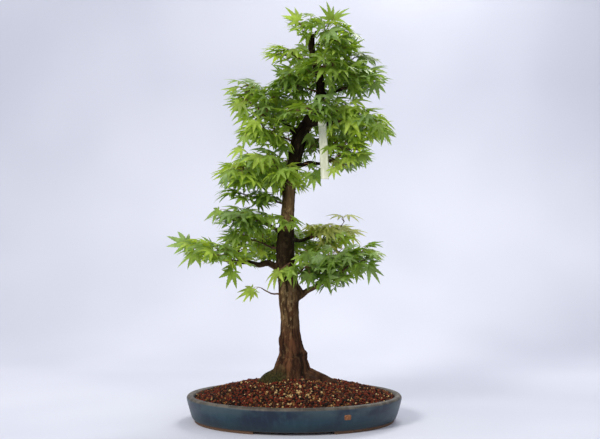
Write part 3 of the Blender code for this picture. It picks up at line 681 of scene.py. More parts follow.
def soilHeight(x, y):
    share = math.sqrt((x / (halfLong - soil["edgeInset"])) ** 2 + (y / (halfDeep - soil["edgeInset"])) ** 2)
    wave = math.pi / soil["lumpSpan"]
    lump = math.sin(x * wave + 2 * math.sin(y * wave / 3)) * math.sin(y * wave + 2 * math.sin(x * wave / 3))
    high, (heapX, heapY), (wide, deep) = soil["heap"]
    heap = high * math.exp(-(((x - heapX) / wide) ** 2) - ((y - heapY) / deep) ** 2)
    return soil["edge"] + soil["crown"] * (1 - share**2) + soil["lump"] * lump * (1 - share**4) + heap


def grainFinish(name):
    light, dark = soil["colours"][name]
    f = Finish(name, Specular_IOR_Level=0.2)
    grain = f.noise(260, 3.0)
    colour = f.blend(grain, 0.38, 0.62, dark, light)
    return f.show(Base_Color=colour, Roughness=0.82 + 0.15 * grain, Normal=f.bump(grain, 0.5, 0.0005))


def buildSoil():
    points = [Vector((0, 0, soilHeight(0, 0) - soil["sunk"]))]
    faces = []
    rings, sides = soil["rings"], soil["sides"]
    for k in range(1, rings + 1):
        share = k / rings
        for s in range(sides):
            turn = 2 * math.pi * s / sides
            x = (halfLong - soil["edgeInset"]) * share * math.cos(turn)
            y = (halfDeep - soil["edgeInset"]) * share * math.sin(turn)
            points.append(Vector((x, y, soilHeight(x, y) - soil["sunk"])))
    for s in range(sides):
        faces.append((0, 1 + s, 1 + (s + 1) % sides))
    for k in range(rings - 1):
        low = 1 + k * sides
        for s in range(sides):
            after = (s + 1) % sides
            faces.append((low + s, low + sides + s, low + sides + after, low + after))
    ground = addMesh("soil_bed", points, faces, [grainFinish("grain_brown")], smoothTo=60)
    return settle(ground, "soil", "soil")


def scatterGrains():
    rng = random.Random(11)
    numbers = np.random.default_rng(11)
    bm = bmesh.new()
    bmesh.ops.create_icosphere(bm, subdivisions=1, radius=1)
    ball = np.array([vert.co for vert in bm.verts])
    ballFaces = np.array([[vert.index for vert in face.verts] for face in bm.faces])
    bm.free()
    skin = barkPiece.data
    tree = BVHTree.FromPolygons([v.co - home for v in skin.vertices], [p.vertices for p in skin.polygons])
    names = [name for name, _, _ in soil["mix"]]
    places = {name: [] for name in [*names, "moss"]}
    reachX = halfLong - soil["edgeInset"] - soil["rimRoom"]
    reachY = halfDeep - soil["edgeInset"] - soil["rimRoom"]
    for k in range(soil["grains"] + soil["mossCount"]):
        turn = rng.uniform(0, 2 * math.pi)
        share = math.sqrt(rng.random())
        x, y = reachX * share * math.cos(turn), reachY * share * math.sin(turn)
        away = [(a - b) / c for a, b, c in zip((x, y), soil["paleAt"], soil["paleSpread"])]
        pale = math.exp(-(away[0] ** 2) - away[1] ** 2)
        weights = [far + (near - far) * pale for _, near, far in soil["mix"]]
        close, more = soil["clump"]
        weights[-1] *= 1 + more * max(0, 0.3 + 2 * noise.noise(Vector((x, y, 0)) * close))
        name = rng.choices(names, weights)[0]
        size = rng.uniform(soil["least"], soil["most"])
        if k >= soil["grains"]:
            x, y = (at + rng.gauss(0, spread) for at, spread in zip(soil["mossAt"], soil["mossSpread"]))
            name, size = "moss", size * 0.7
            if (x / reachX) ** 2 + (y / reachY) ** 2 > 1:
                continue
        z = soilHeight(x, y) + rng.uniform(-0.4, 0.6) * size
        place = Vector((x, y, z))
        spot, normal, _, gap = tree.find_nearest(place)
        if gap < 0.01 and (place - spot).dot(normal) < -size * 0.4:  # inside the trunk or a root
            continue
        places[name].append((x, y, z, size))
    for name, rows in places.items():
        rows = np.array(rows)
        count = len(rows)
        turns = np.linalg.qr(numbers.normal(size=(count, 3, 3)))[0]
        turns *= np.sign(np.linalg.det(turns))[:, None, None]
        shape = ball[None] * (1 + numbers.uniform(-0.22, 0.22, (count, len(ball), 1)))
        shape *= numbers.uniform(0.68, 1.25, (count, 1, 3))
        shape = np.einsum("nij,nvj->nvi", turns, shape) * rows[:, None, 3:] + rows[:, None, :3]
        faces = ballFaces[None] + (np.arange(count) * len(ball))[:, None, None]
        title = "moss_tufts" if name == "moss" else name + "_grains"
        faces = faces.reshape(-1, 3).tolist()
        settle(addMesh(title, shape.reshape(-1, 3), faces, [grainFinish(name)]), "soil")
    print("soil", sum(len(rows) for rows in places.values()), "grains")


buildSoil()
scatterGrains()


# Foliage

# Each mass as in the solids: what it grows from (a bough, or a height on the trunk), the furthest tip,
# half width, half height, leaves, how far they hang, and the tints of its leaves.
# The tints are dealt by mass, so by their place they also paint light and shade, as said at the tints table.
masses = {
    "lower_left_outer": ("lower_left", (-0.25, -0.045, 0.354), 0.062, 0.026, 25, 0.45, "fresh cool fresh"),
    "lower_right": ("lower_right", (0.19, -0.03, 0.352), 0.066, 0.037, 43, 0.45, "cool deep deep"),
    "lower_back": ("lower_back", (-0.01, 0.176, 0.345), 0.072, 0.04, 30, 0.45, "mid deep"),
    "back_right": ("back_right", (0.15, 0.1, 0.369), 0.052, 0.029, 25, 0.5, "olive olive mid"),
    "left": ("left", (-0.172, -0.035, 0.409), 0.055, 0.025, 29, 0.45, "mid cool"),
    "middle_back": ("middle_back", (-0.062, 0.166, 0.516), 0.066, 0.042, 28, 0.45, "mid deep"),
    "right": ("right", (0.172, -0.02, 0.545), 0.056, 0.042, 32, 0.55, "mid cool fresh"),
    "upper_left": ("upper_left", (-0.142, -0.03, 0.676), 0.058, 0.044, 37, 0.4, "mid cool fresh"),
    "upper_back": ("upper_back", (0.05, 0.166, 0.625), 0.068, 0.046, 28, 0.45, "mid deep"),
    "upper_right": ("upper_right", (0.209, -0.035, 0.583), 0.064, 0.042, 40, 0.6, "mid cool fresh"),
    "high_right": ("high_right", (0.202, -0.02, 0.707), 0.058, 0.036, 33, 0.45, "mid cool"),
    "lower_left_inner": (0.35, (-0.166, 0.04, 0.372), 0.046, 0.034, 29, 0.4, "fresh mid fresh"),
    "left_twig": (0.442, (-0.172, -0.012, 0.462), 0.038, 0.018, 17, 0.35, "mid deep"),
    "left_high": (0.506, (-0.166, -0.045, 0.489), 0.06, 0.043, 40, 0.5, "mid fresh cool"),
    "upper_left_low": (0.57, (-0.122, -0.03, 0.588), 0.05, 0.033, 32, 0.45, "mid fresh"),
    "top_left_low": (0.674, (-0.064, -0.035, 0.68), 0.048, 0.036, 30, 0.35, "mid cool deep"),
    "top_left": (0.732, (-0.072, -0.02, 0.747), 0.04, 0.019, 20, 0.3, "mid fresh"),
    "top_right": (0.764, (0.142, -0.025, 0.768), 0.054, 0.044, 38, 0.5, "cool mid fresh"),
    "high_right_back": (0.724, (0.176, 0.046, 0.722), 0.05, 0.031, 28, 0.45, "mid deep"),
    "high_back": (0.69, (0.06, 0.156, 0.715), 0.062, 0.044, 28, 0.45, "mid deep"),
    "high_front": (0.704, (0.07, -0.125, 0.69), 0.056, 0.04, 24, 0.55, "mid deep"),
    "upper_front": (0.628, (0.012, -0.125, 0.622), 0.06, 0.036, 24, 0.5, "mid cool deep"),
    "apex_left": (0.766, (-0.012, -0.022, 0.834), 0.034, 0.022, 10, 0.00, "mid deep"),
    "apex": ("tip", (0.068, -0.016, 0.834), 0.03, 0.019, 12, -0.3, "mid cool deep"),
    "middle_front": (0.49, (-0.026, -0.1, 0.482), 0.038, 0.028, 12, 0.6, "fresh mid"),
    "right_inner": (0.54, (0.098, 0.036, 0.566), 0.038, 0.03, 28, 0.45, "mid deep"),
    "front": (0.398, (-0.008, -0.098, 0.392), 0.032, 0.02, 8, 0.45, "mid"),
    "lower_front": (0.296, (-0.056, -0.088, 0.288), 0.036, 0.028, 3, 0.6, "fresh mid"),
    "lower_front_right": (0.294, (0.075, -0.082, 0.311), 0.04, 0.017, 11, 0.55, "cool deep"),
    "low_twig": (0.256, (-0.122, -0.018, 0.24), 0.022, 0.024, 1, 0.8, "fresh"),
}

growth = {
    "room": (0.005, 0.022),        # how far past a mass's half length and half width its tips may reach
    "above": (1.00, 0.018),        # and above its middle: a share of its half height and some room
    "below": (0.66, 0.01),
    "round": 2.6,                  # 2 is an egg, and more is boxier
    "taper": 0.28,                 # how much lower the space gets towards the tip
    "reach": 0.95,                 # blades start within this share of the half sizes
    "lift": 0.24,                  # and this share of the half height above the middle
    "back": 0.62,                  # the share of a bough that bears leaves too
    "barer": {"back_right": 0.38, "lower_right": 0.4},
    "spacing": 0.011,
    "draws": 60,
    "sitesPerLeaf": 3.0,
    "stemEnd": 0.0013,
    "stemStart": 0.0028,
    "stemSteps": 8,
    "stemWave": 0.0022,
    "stalk": 0.014,
    "stalkLongest": 0.024,
    "stalkRadii": (0.00065, 0.0005, 0.00055),
    "limbRoom": 0.001,
    "twig": (0.0011, 0.0007),
    "arch": 0.12,                  # how far twigs and stalks arch up, for their length
    "leaf": 0.051,
    "spread": (0.66, 1.12),
    "sway": 0.6,
    "tilt": (0.1, 1.0),            # how far a blade leans outward
    "hangSpread": (0.0, 1.9),
    "calm": 0.7,
    "leastTurn": 0.3,
    "tries": 6,
    "shrink": 0.95,
    "guard": 0.62,                 # leaves keep this much of each other's size free
    "boxRoom": (0.006, 0.006, 0.012),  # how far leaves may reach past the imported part's box
    "stripRoom": (0.024, 0.002),   # kept free ahead of the label strip and behind it
    "bareTrunk": ((0.046, -0.17, 0.662), (0.06, -0.012, 0.702)),  # and ahead of the upper trunk
}

# The furthest leaf of these masses is one of the leaves below.
ownTips = "apex apex_left low_twig back_right lower_left_outer right lower_right left lower_front".split()

# Leaves that show by themselves, by mass: heart, which way the middle lobe points, which way the upper side
# faces, length and tint.
accents = {
    "apex": (
        ((0.0735, -0.018, 0.817), (-0.08, -0.05, 0.99), (0.65, -0.75, 0.1), 0.0415, "mid"),
        ((0.0815, -0.014, 0.819), (0.66, -0.05, 0.75), (-0.6, -0.65, 0.5), 0.041, "mid"),
        ((0.056, -0.016, 0.814), (-0.75, -0.2, -0.4), (0.00, -0.8, 0.6), 0.038, "cool"),
    ),
    "apex_left": (
        ((0.008, -0.02, 0.815), (-0.66, -0.1, 0.75), (0.4, -0.85, 0.35), 0.04, "fresh"),
        ((0.018, -0.024, 0.799), (-0.98, -0.2, 0.12), (0.05, -0.35, 1.0), 0.041, "fresh"),
        ((0.037, -0.018, 0.827), (-1.0, -0.2, 0.00), (0.05, -0.45, 1.0), 0.036, "mid"),
        ((0.032, -0.016, 0.808), (-0.85, -0.3, -0.25), (0.1, -0.8, 0.6), 0.034, "mid"),
    ),
    "low_twig": (
        ((-0.086, -0.016, 0.2705), (-0.86, -0.1, -0.5), (-0.45, -0.5, 0.75), 0.042, "fresh"),
    ),
    "back_right": (
        ((0.0985, 0.07, 0.4185), (-0.98, -0.1, 0.2), (0.1, -0.22, 1.0), 0.036, "olive"),
        ((0.112, 0.07, 0.42), (1.0, -0.1, -0.06), (0.05, -0.22, 1.0), 0.039, "olive"),
        ((0.075, 0.06, 0.365), (0.5, -0.2, -0.8), (0.3, -1.0, 0.3), 0.036, "olive"),
        ((0.102, 0.062, 0.372), (0.8, -0.2, -0.5), (0.2, -0.9, 0.6), 0.038, "mid"),
    ),
    "lower_left_outer": (
        ((-0.1235, -0.03, 0.306), (-0.5, -0.15, -0.85), (-0.2, -1.0, 0.15), 0.04, "mid"),
        ((-0.122, -0.026, 0.32), (-0.7, -0.15, -0.6), (-0.3, -0.6, 0.7), 0.034, "mid"),
        ((-0.2165, -0.045, 0.361), (-0.84, -0.1, 0.54), (0.1, -1.0, 0.45), 0.045, "cool"),
        ((-0.198, -0.05, 0.345), (-0.84, -0.15, -0.54), (-0.3, -0.45, 0.9), 0.048, "mid"),
        ((-0.193, -0.05, 0.343), (0.2, -0.15, -0.96), (0.3, -1.0, 0.1), 0.032, "mid"),
    ),
    "right": (
        ((0.03, -0.01, 0.522), (0.96, -0.2, -0.18), (0.1, -0.5, 0.9), 0.028, "deep"),
        ((0.04, -0.002, 0.501), (0.1, -0.1, -0.97), (0.3, -1.0, 0.1), 0.034, "mid"),
        ((0.048, -0.004, 0.511), (0.25, -0.1, -0.95), (0.2, -1.0, 0.2), 0.032, "deep"),
        ((0.027, 0.004, 0.507), (-0.2, -0.1, -0.93), (-0.2, -1.0, 0.2), 0.028, "mid"),
        ((0.08, -0.014, 0.516), (0.05, -0.1, -0.99), (0.00, -1.0, 0.1), 0.026, "fresh"),
        ((0.137, -0.022, 0.545), (0.35, -0.15, -0.93), (0.2, -1.0, 0.2), 0.034, "mid"),
    ),
    "lower_right": (
        ((0.074, -0.03, 0.354), (-0.7, -0.3, -0.1), (0.00, -0.6, 0.8), 0.036, "deep"),
        ((0.106, -0.03, 0.354), (0.7, -0.3, 0.1), (0.00, -0.5, 0.9), 0.032, "cool"),
        ((0.15, -0.034, 0.349), (0.98, -0.1, -0.14), (0.1, -0.35, 1.0), 0.042, "fresh"),
        ((0.148, -0.05, 0.318), (0.6, -0.2, -0.76), (0.3, -0.7, 0.6), 0.045, "cool"),
        ((0.122, -0.05, 0.314), (0.1, -0.2, -0.97), (0.2, -1.0, 0.3), 0.034, "mid"),
    ),
    "left": (
        ((-0.043, -0.03, 0.415), (-0.8, -0.2, -0.5), (-0.2, -0.8, 0.6), 0.034, "mid"),
        ((-0.152, -0.036, 0.429), (-0.8, -0.1, -0.55), (-0.3, -0.6, 0.8), 0.038, "mid"),
        ((-0.115, -0.034, 0.433), (-0.9, -0.1, 0.25), (0.00, -0.3, 1.0), 0.034, "mid"),
    ),
    "lower_front_right": (
        ((0.012, -0.046, 0.338), (0.1, -0.3, -0.9), (0.3, -0.9, 0.2), 0.03, "mid"),
        ((0.027, -0.05, 0.345), (0.3, -0.3, -0.85), (0.2, -0.9, 0.5), 0.04, "deep"),
        ((0.045, -0.05, 0.337), (0.6, -0.3, -0.6), (0.1, -0.7, 0.7), 0.04, "cool"),
        ((0.03, -0.06, 0.302), (-0.1, -0.25, -0.95), (0.3, -0.9, 0.2), 0.034, "deep"),
    ),
    "lower_front": (
        ((-0.031, -0.05, 0.307), (-0.72, -0.15, -0.68), (-0.5, -0.45, 0.7), 0.048, "fresh"),
        ((0.002, -0.05, 0.315), (-0.1, -0.2, -0.97), (0.8, -0.5, 0.1), 0.044, "mid"),
        ((-0.012, -0.05, 0.313), (-0.5, -0.25, -0.85), (-0.7, -0.6, 0.3), 0.042, "mid"),
    ),
    "lower_left_inner": (
        ((-0.118, -0.01, 0.38), (-0.75, -0.1, -0.6), (-0.2, -0.8, 0.6), 0.036, "mid"),
    ),
    "upper_left": (
        ((-0.105, -0.036, 0.689), (-0.97, -0.1, 0.22), (0.00, -0.2, 1.0), 0.04, "mid"),
        ((-0.096, -0.04, 0.633), (-0.9, -0.1, -0.42), (-0.2, -0.8, 0.7), 0.04, "mid"),
        ((-0.106, -0.04, 0.648), (-0.7, -0.1, -0.7), (-0.4, -0.8, 0.5), 0.04, "fresh"),
    ),
    "upper_left_low": (
        ((-0.092, -0.036, 0.618), (-0.9, -0.1, -0.3), (-0.1, -0.7, 0.7), 0.038, "fresh"),
        ((-0.099, -0.036, 0.578), (-0.2, -0.2, -0.95), (-0.1, -1.0, 0.3), 0.028, "mid"),
    ),
    "left_high": (
        ((-0.105, -0.045, 0.553), (-0.95, -0.1, -0.25), (0.00, -0.6, 0.8), 0.038, "fresh"),
        ((-0.123, -0.045, 0.515), (-0.95, -0.1, -0.15), (-0.1, -0.15, 1.0), 0.038, "fresh"),
        ((-0.019, -0.016, 0.559), (-0.4, -0.3, -0.8), (-0.1, -0.9, 0.4), 0.034, "deep"),
        ((-0.132, -0.045, 0.502), (-0.25, -0.2, -0.95), (-0.2, -1.0, 0.2), 0.036, "cool"),
    ),
    "upper_right": (
        ((0.145, -0.035, 0.631), (0.95, -0.15, 0.08), (0.00, -0.35, 1.0), 0.04, "fresh"),
        ((0.178, -0.035, 0.59), (0.55, -0.1, -0.8), (0.2, -1.0, 0.3), 0.036, "mid"),
        ((0.118, -0.034, 0.65), (0.9, -0.2, 0.1), (-0.1, -0.5, 1.0), 0.042, "fresh"),
        ((0.075, -0.034, 0.656), (-0.6, -0.5, 0.1), (0.00, -0.6, 0.9), 0.038, "mid"),
        ((0.07, -0.03, 0.664), (0.6, -0.2, 0.5), (0.00, -0.7, 0.8), 0.032, "cool"),
        ((0.085, -0.03, 0.655), (0.9, -0.2, 0.1), (0.00, -0.5, 0.9), 0.034, "mid"),
        ((0.03, -0.004, 0.586), (0.05, -0.3, -0.95), (0.2, -1.0, 0.2), 0.03, "mid"),
    ),
    "top_right": (
        ((0.116, -0.025, 0.76), (0.72, -0.15, 0.5), (-0.1, -0.7, 0.7), 0.032, "mid"),
    ),
    "right_inner": (
        ((0.03, 0.024, 0.57), (0.6, -0.2, -0.7), (-0.1, -0.9, 0.4), 0.03, "deep"),
        ((0.082, 0.03, 0.585), (-0.3, -0.2, -0.9), (0.1, -0.9, 0.3), 0.036, "mid"),
    ),
    "high_right": (
        ((0.163, -0.022, 0.689), (0.3, -0.15, -0.94), (0.2, -1.0, 0.2), 0.038, "cool"),
    ),
    "top_left_low": (
        ((-0.008, -0.03, 0.713), (-0.85, -0.2, 0.35), (0.00, -0.6, 0.8), 0.04, "mid"),
        ((-0.026, -0.035, 0.705), (-0.6, -0.2, 0.55), (0.00, -0.6, 0.8), 0.03, "cool"),
        ((0.0035, -0.024, 0.669), (-0.2, -0.4, -0.4), (0.00, -0.8, 0.6), 0.028, "mid"),
    ),
    "top_left": (
        ((0.028, -0.014, 0.79), (-0.1, -0.3, -0.9), (0.1, -1.0, 0.2), 0.034, "mid"),
        ((0.02, -0.014, 0.764), (-0.5, -0.3, -0.6), (-0.1, -1.0, 0.3), 0.03, "cool"),
    ),
}

# A palmate leaf: each lobe's angle from the middle one, and its share of the leaf's length.
leafForm = {
    "lobes": ((-112, 0.42), (-74, 0.72), (-37, 0.93), (0, 1.0), (37, 0.93), (74, 0.72), (112, 0.42)),
    "notch": 0.32,
    "widest": 0.127,
    "widestAt": 0.42,
    "waist": (142, 0.09),
    "teeth": 5,
    "toothOut": 1.1,
    "toothIn": 0.8,
    "toothAt": 0.15,
    "toothDeep": 0.05,
    "veinFrom": 0.8,       # the share of the notches' depth at which the lobes' veins start
    "vein": 0.011,
    "veinTaper": 0.8,
    "bend": (0.1, 0.7),    # how much a lobe curls down over a leaf's length, in radians
    "sideBend": 0.3,
    "bendSpread": 0.25,
    "leastBend": 0.05,
    "turnSpread": 5,       # degrees
    "fold": (0.06, 0.32),
    "guardDrop": 0.16,
}


def leafTemplate():
    rows = [(0, 0.0, 0.0)]  # lobe, how far along it and how far aside, in leaf lengths
    faces, veins = [], []
    lobes = leafForm["lobes"]

    def corner(lobe, along, aside):
        rows.append((lobe, along, aside))
        return len(rows) - 1

    def fromHeart(lobe, angle, share):
        turn = math.radians(angle - lobes[lobe][0])
        return corner(lobe, share * math.cos(turn), share * math.sin(turn))

    angle, share = leafForm["waist"]
    notches = [fromHeart(0, -angle, share)]
    for k in range(len(lobes) - 1):
        middle = (lobes[k][0] + lobes[k + 1][0]) / 2
        notches.append(fromHeart(k, middle, leafForm["notch"] * (lobes[k][1] + lobes[k + 1][1]) / 2))
    notches.append(fromHeart(len(lobes) - 1, angle, share))
    teeth = leafForm["teeth"]
    for k, (angle, share) in enumerate(lobes):
        start = leafForm["veinFrom"] * leafForm["notch"] * share
        widest = leafForm["widest"] * share**0.8

        def halfWidth(along):
            u = along / share
            if u < leafForm["widestAt"]:
                return widest * (0.86 + 0.14 * u / leafForm["widestAt"])
            return widest * (1 - ((u - leafForm["widestAt"]) / (1 - leafForm["widestAt"])) ** 1.35)

        step = (share - start) / teeth
        ribs = []
        for n in range(teeth):
            along = start + step * n
            half = leafForm["vein"] * share * (1 - leafForm["veinTaper"] * n / teeth) / 2
            ribs.append((corner(k, along, -half), corner(k, along, half)))
        tip = corner(k, share, 0.0)
        veins.append((0, ribs[0][0], ribs[0][1]))
        for (a, b), (c, d) in zip(ribs, ribs[1:]):
            veins += [(a, c, d), (a, d, b)]
        veins.append((ribs[-1][0], tip, ribs[-1][1]))
        for side, sign in ((0, -1), (1, 1)):
            valley = notches[k + side]
            rib = [pair[side] for pair in ribs]
            made = [(0, valley, rib[0])]
            for n in range(1, teeth):
                along = start + step * (n + leafForm["toothAt"])
                tooth = corner(k, along, sign * halfWidth(along) * leafForm["toothOut"])
                past = along + step * leafForm["toothDeep"]
                inner = corner(k, past, sign * halfWidth(along) * leafForm["toothIn"])
                made += [(rib[n - 1], valley, rib[n]), (rib[n], valley, tooth), (rib[n], tooth, inner)]
                valley = inner
            made.append((rib[-1], valley, tip))
            faces += [face if sign < 0 else face[::-1] for face in made]
    table = np.array(rows)
    finish = [0] * len(faces) + [1] * len(veins)
    return table[:, 0].astype(int), table[:, 1], table[:, 2], np.array(faces + veins), finish


leafLobe, leafAlong, leafAside, leafFaces, leafFaceFinish = leafTemplate()


def leafPoints(leaf, rng):
    heart, axis, normal, length = leaf["heart"], leaf["axis"], leaf["normal"], leaf["length"]
    side = normal.cross(axis)
    fold = rng.uniform(*leafForm["fold"])
    base = rng.uniform(*leafForm["bend"])
    turnSpread, bendSpread = leafForm["turnSpread"], leafForm["bendSpread"]
    bends, dirs, sides = [], [], []
    for angle, _ in leafForm["lobes"]:
        turn = math.radians(angle + rng.uniform(-turnSpread, turnSpread))
        sideBend = leafForm["sideBend"] * abs(math.sin(turn))
        bends.append(base + sideBend + rng.uniform(-bendSpread, bendSpread))
        dirs.append(axis * math.cos(turn) + side * math.sin(turn))
        sides.append(side * math.cos(turn) - axis * math.sin(turn))
    bend = np.maximum(np.array(bends), leafForm["leastBend"])[leafLobe]
    along = np.sin(bend * leafAlong) / bend
    drop = (1 - np.cos(bend * leafAlong)) / bend
    rise = fold * np.abs(leafAside) - drop
    aside = leafAside * math.cos(fold)
    shape = np.array(dirs)[leafLobe] * along[:, None] + np.array(sides)[leafLobe] * aside[:, None]
    return np.array(heart)[None] + length * (shape + np.array(normal)[None] * rise[:, None])


def leafGuard(leaf, size):  # a plain outline that stands for a leaf where things could meet
    heart, axis, normal, length = leaf["heart"], leaf["axis"], leaf["normal"], leaf["length"]
    side = normal.cross(axis)
    rim = []
    lobes = leafForm["lobes"][1:-1]
    for k, (angle, share) in enumerate(lobes):
        if k:
            lastAngle = lobes[k - 1][0]
            rim.append((math.radians((angle + lastAngle) / 2), leafForm["notch"]))
        rim.append((math.radians(angle), share))
    points = [heart]
    for turn, share in rim:
        reach = share * length * size
        spot = heart + (axis * math.cos(turn) + side * math.sin(turn)) * reach
        points.append(spot - normal * (leafForm["guardDrop"] * reach * share))
    faces = [(0, k, k + 1) for k in range(1, len(points) - 1)]
    return searchTree(points, faces), points


def searchTree(points, faces):
    low = [min(p[k] for p in points) for k in range(3)]
    high = [max(p[k] for p in points) for k in range(3)]
    return BVHTree.FromPolygons(points, faces), low, high


def meets(one, two):
    for k in range(3):
        if one[1][k] > two[2][k] or one[2][k] < two[1][k]:
            return False
    return bool(one[0].overlap(two[0]))


def limbTree(route):
    points, faces = [], []
    thick = [(point, (radius + growth["limbRoom"]) * 1.1) for point, radius in route]
    shellRound(thick, 6, points, faces)
    return searchTree(points, faces)


class Mass:  # one mass of foliage: its egg-shaped space, the stem, twigs and leaves grown in it
    def __init__(self, name, seed):
        root, tip, self.wide, self.tall, asked, self.hang, tints = masses[name]
        self.name = name
        self.bough = isinstance(root, str)
        self.rng = random.Random(seed)
        self.tints = tints.split()
        self.tip = Vector(tip)
        self.thick = growth["stemStart"]
        self.twigs, self.leaves, self.segments = [], [], []
        foot = None
        if self.bough:
            route = trunkRoute if root == "tip" else boughRoute(root)
            self.heading = (route[-1][0] - route[-2][0]).normalized()
            self.start = route[-1][0] - self.heading * 0.004
            self.thick = route[-1][1] * 0.96
            if root != "tip":
                back = growth["barer"].get(root, growth["back"])
                bearing = [point for point, _ in route[round(len(route) * (1 - back)):]]
                self.segments = list(zip(bearing, bearing[1:]))
                foot = bearing[0]
        else:
            self.start = trunkAt(root)[0]
            self.heading = (self.tip - self.start).normalized()
        self.ownLength = (self.tip - self.start).length
        foot = foot or self.start
        self.length = (self.tip - foot).length
        self.asked = round(asked * growth["sitesPerLeaf"] * self.length / self.ownLength)
        self.along = (self.tip - foot).normalized()
        self.across = self.along.cross(up).normalized()
        self.over = self.across.cross(self.along)
        self.middle = (foot + self.tip) / 2

    def inner(self, point):  # how far out a point lies, where 1 is on the mass's skin
        away = point - self.middle
        high = away.dot(self.over)
        share, room = growth["above" if high > 0 or self.hang <= 0 else "below"]
        out = away.dot(self.along) / (self.length / 2 + growth["room"][0])
        parts = (
            out,
            away.dot(self.across) / (self.wide + growth["room"][1]),
            high / (self.tall * share + room) / (1 - growth["taper"] * max(-1.0, min(1.0, out))),
        )
        return sum(abs(part) ** growth["round"] for part in parts)

    def sites(self):  # evenly spread places for leaves, nearest the stem's foot first
        found = []
        reach = growth["reach"]
        for _ in range(self.asked * growth["draws"]):
            ball = Vector(self.rng.uniform(-1, 1) for _ in range(3))
            if sum(abs(part) ** growth["round"] for part in ball) > 1 or len(found) == self.asked:
                continue
            point = self.middle + self.along * (ball.x * reach * self.length / 2)
            point += self.across * (ball.y * reach * self.wide)
            high = (ball.z * reach + growth["lift"]) * self.tall
            point += self.over * (high * (1 - growth["taper"] * ball.x))
            if all((point - other).length > growth["spacing"] for other in found):
                found.append(point)
        return sorted(found, key=lambda point: (point - self.start).length)

    def sway(self):
        return Vector(self.rng.uniform(-growth["sway"], growth["sway"]) for _ in range(3))

    def leafAt(self, root, heart, length, calm):
        away = heart - self.middle
        out = self.along * (away.dot(self.along) * 0.6) + self.across * (away.dot(self.across) * 1.6)
        out.normalize()
        stalk = (heart - root).normalized()
        high = max(-1.0, min(1.0, away.dot(self.over) / self.tall))
        hang = self.hang * self.rng.uniform(*growth["hangSpread"])
        hang *= (1 - growth["calm"] * calm) * (1 - 0.5 * high)
        axis = (out + 0.5 * stalk + 0.3 * self.along + self.sway() - up * hang).normalized()
        axis = (axis + stalk * max(0.0, growth["leastTurn"] - axis.dot(stalk))).normalized()
        normal = up + out * self.rng.uniform(*growth["tilt"]) + self.sway()
        normal = (normal - axis * normal.dot(axis)).normalized()
        return {"root": root, "heart": heart, "axis": axis, "normal": normal, "length": length}

    def nearest(self, point):  # how far off the nearest wood is, and its nearest place for a twig
        best = None
        for start, end in self.segments:
            span = end - start
            low = 0.9 if (start - self.start).length == 0 and not self.bough else 0.08
            share = max(low, min(0.97, (point - start).dot(span) / span.length_squared))
            spot = start + span * share
            gap = (point - spot).length
            if best is None or gap < best[0]:
                best = (gap, spot)
        return best

    def stemRoute(self):
        lean = (self.along - up * (0.5 * self.hang)).normalized()
        length = min(growth["leaf"] * 1.05, self.ownLength / 2)
        heart = self.tip - lean * length
        end = heart - self.along * growth["stalk"]
        bend = self.start + self.heading * (0.4 * (end - self.start).length)
        route = []
        for k in range(growth["stemSteps"] + 1):
            t = k / growth["stemSteps"]
            point = self.start * (1 - t) ** 2 + bend * (2 * t * (1 - t)) + end * t**2
            wave = math.sin(t * 9 + self.start.z * 40) * growth["stemWave"] * math.sin(math.pi * t)
            radius = self.thick + (growth["stemEnd"] - self.thick) * t**0.7
            route.append((point + self.over * wave + self.across * wave * 0.8, radius))
        normal = (up - lean * up.dot(lean)).normalized()
        return route, {"root": end, "heart": heart, "axis": lean, "normal": normal, "length": length}

    def fits(self, leaf):
        guard, points = leafGuard(leaf, 1.0)
        inMass = all(self.inner(point) < 1 for point in points)
        return inMass and insideBox(points) and not meets(guard, keptClear)

    def twigTo(self, anchor, end):
        rise = growth["arch"] * (end - anchor).length
        middle = (anchor + end) / 2 + up * rise
        thick, thin = growth["twig"]
        early = anchor * 0.36 + middle * 0.48 + end * 0.16
        late = anchor * 0.16 + middle * 0.48 + end * 0.36
        return [(anchor, thick), (early, thick), (late, (thick + thin) / 2), (end, thin)]

    def accent(self, heart, ahead, face, length, tint, own):  # a leaf that the photograph shows by itself
        axis = ahead.normalized()
        normal = (face - axis * face.dot(axis)).normalized()
        anchor = self.nearest(heart)[1]
        root = heart + ((anchor - heart).normalized() - axis).normalized() * growth["stalk"]
        leaf = {"root": root, "heart": heart, "axis": axis, "normal": normal, "length": length, "tint": tint}
        self.twigs.append(self.twigTo(anchor, root))
        self.segments.append((anchor, root))
        self.leaves.append(leaf)
        own.append(leafGuard(leaf, growth["guard"])[0])

    def grow(self, taken):
        route, lastLeaf = self.stemRoute()
        self.twigs.append(route)
        self.segments += [(a[0], b[0]) for a, b in zip(route, route[1:])]
        own = []

        def tryLeaf(leaf, sure=False):
            guard = leafGuard(leaf, growth["guard"])[0]
            if (sure or self.fits(leaf)) and not any(meets(guard, other) for other in taken + own):
                leaf["tint"] = self.rng.choice(self.tints)
                self.leaves.append(leaf)
                own.append(guard)
                return True
            return False

        for heart, ahead, face, length, tint in accents.get(self.name, ()):
            self.accent(Vector(heart), Vector(ahead), Vector(face), length, tint, own)
        if self.name not in ownTips:
            tryLeaf(lastLeaf, sure=True)
        for site in self.sites():
            gap, anchor = self.nearest(site)
            root, twig = anchor, None
            if gap > growth["stalkLongest"]:
                back = (anchor - site).normalized()
                root = site + back * growth["stalk"]
                twig = self.twigTo(anchor, root)
            length = growth["leaf"] * self.rng.uniform(*growth["spread"])
            for attempt in range(growth["tries"]):
                if tryLeaf(self.leafAt(root, site, length, attempt / growth["tries"])):
                    if twig:
                        self.twigs.append(twig)
                        self.segments.append((twig[0][0], twig[-1][0]))
                    break
                length *= growth["shrink"]
        return own


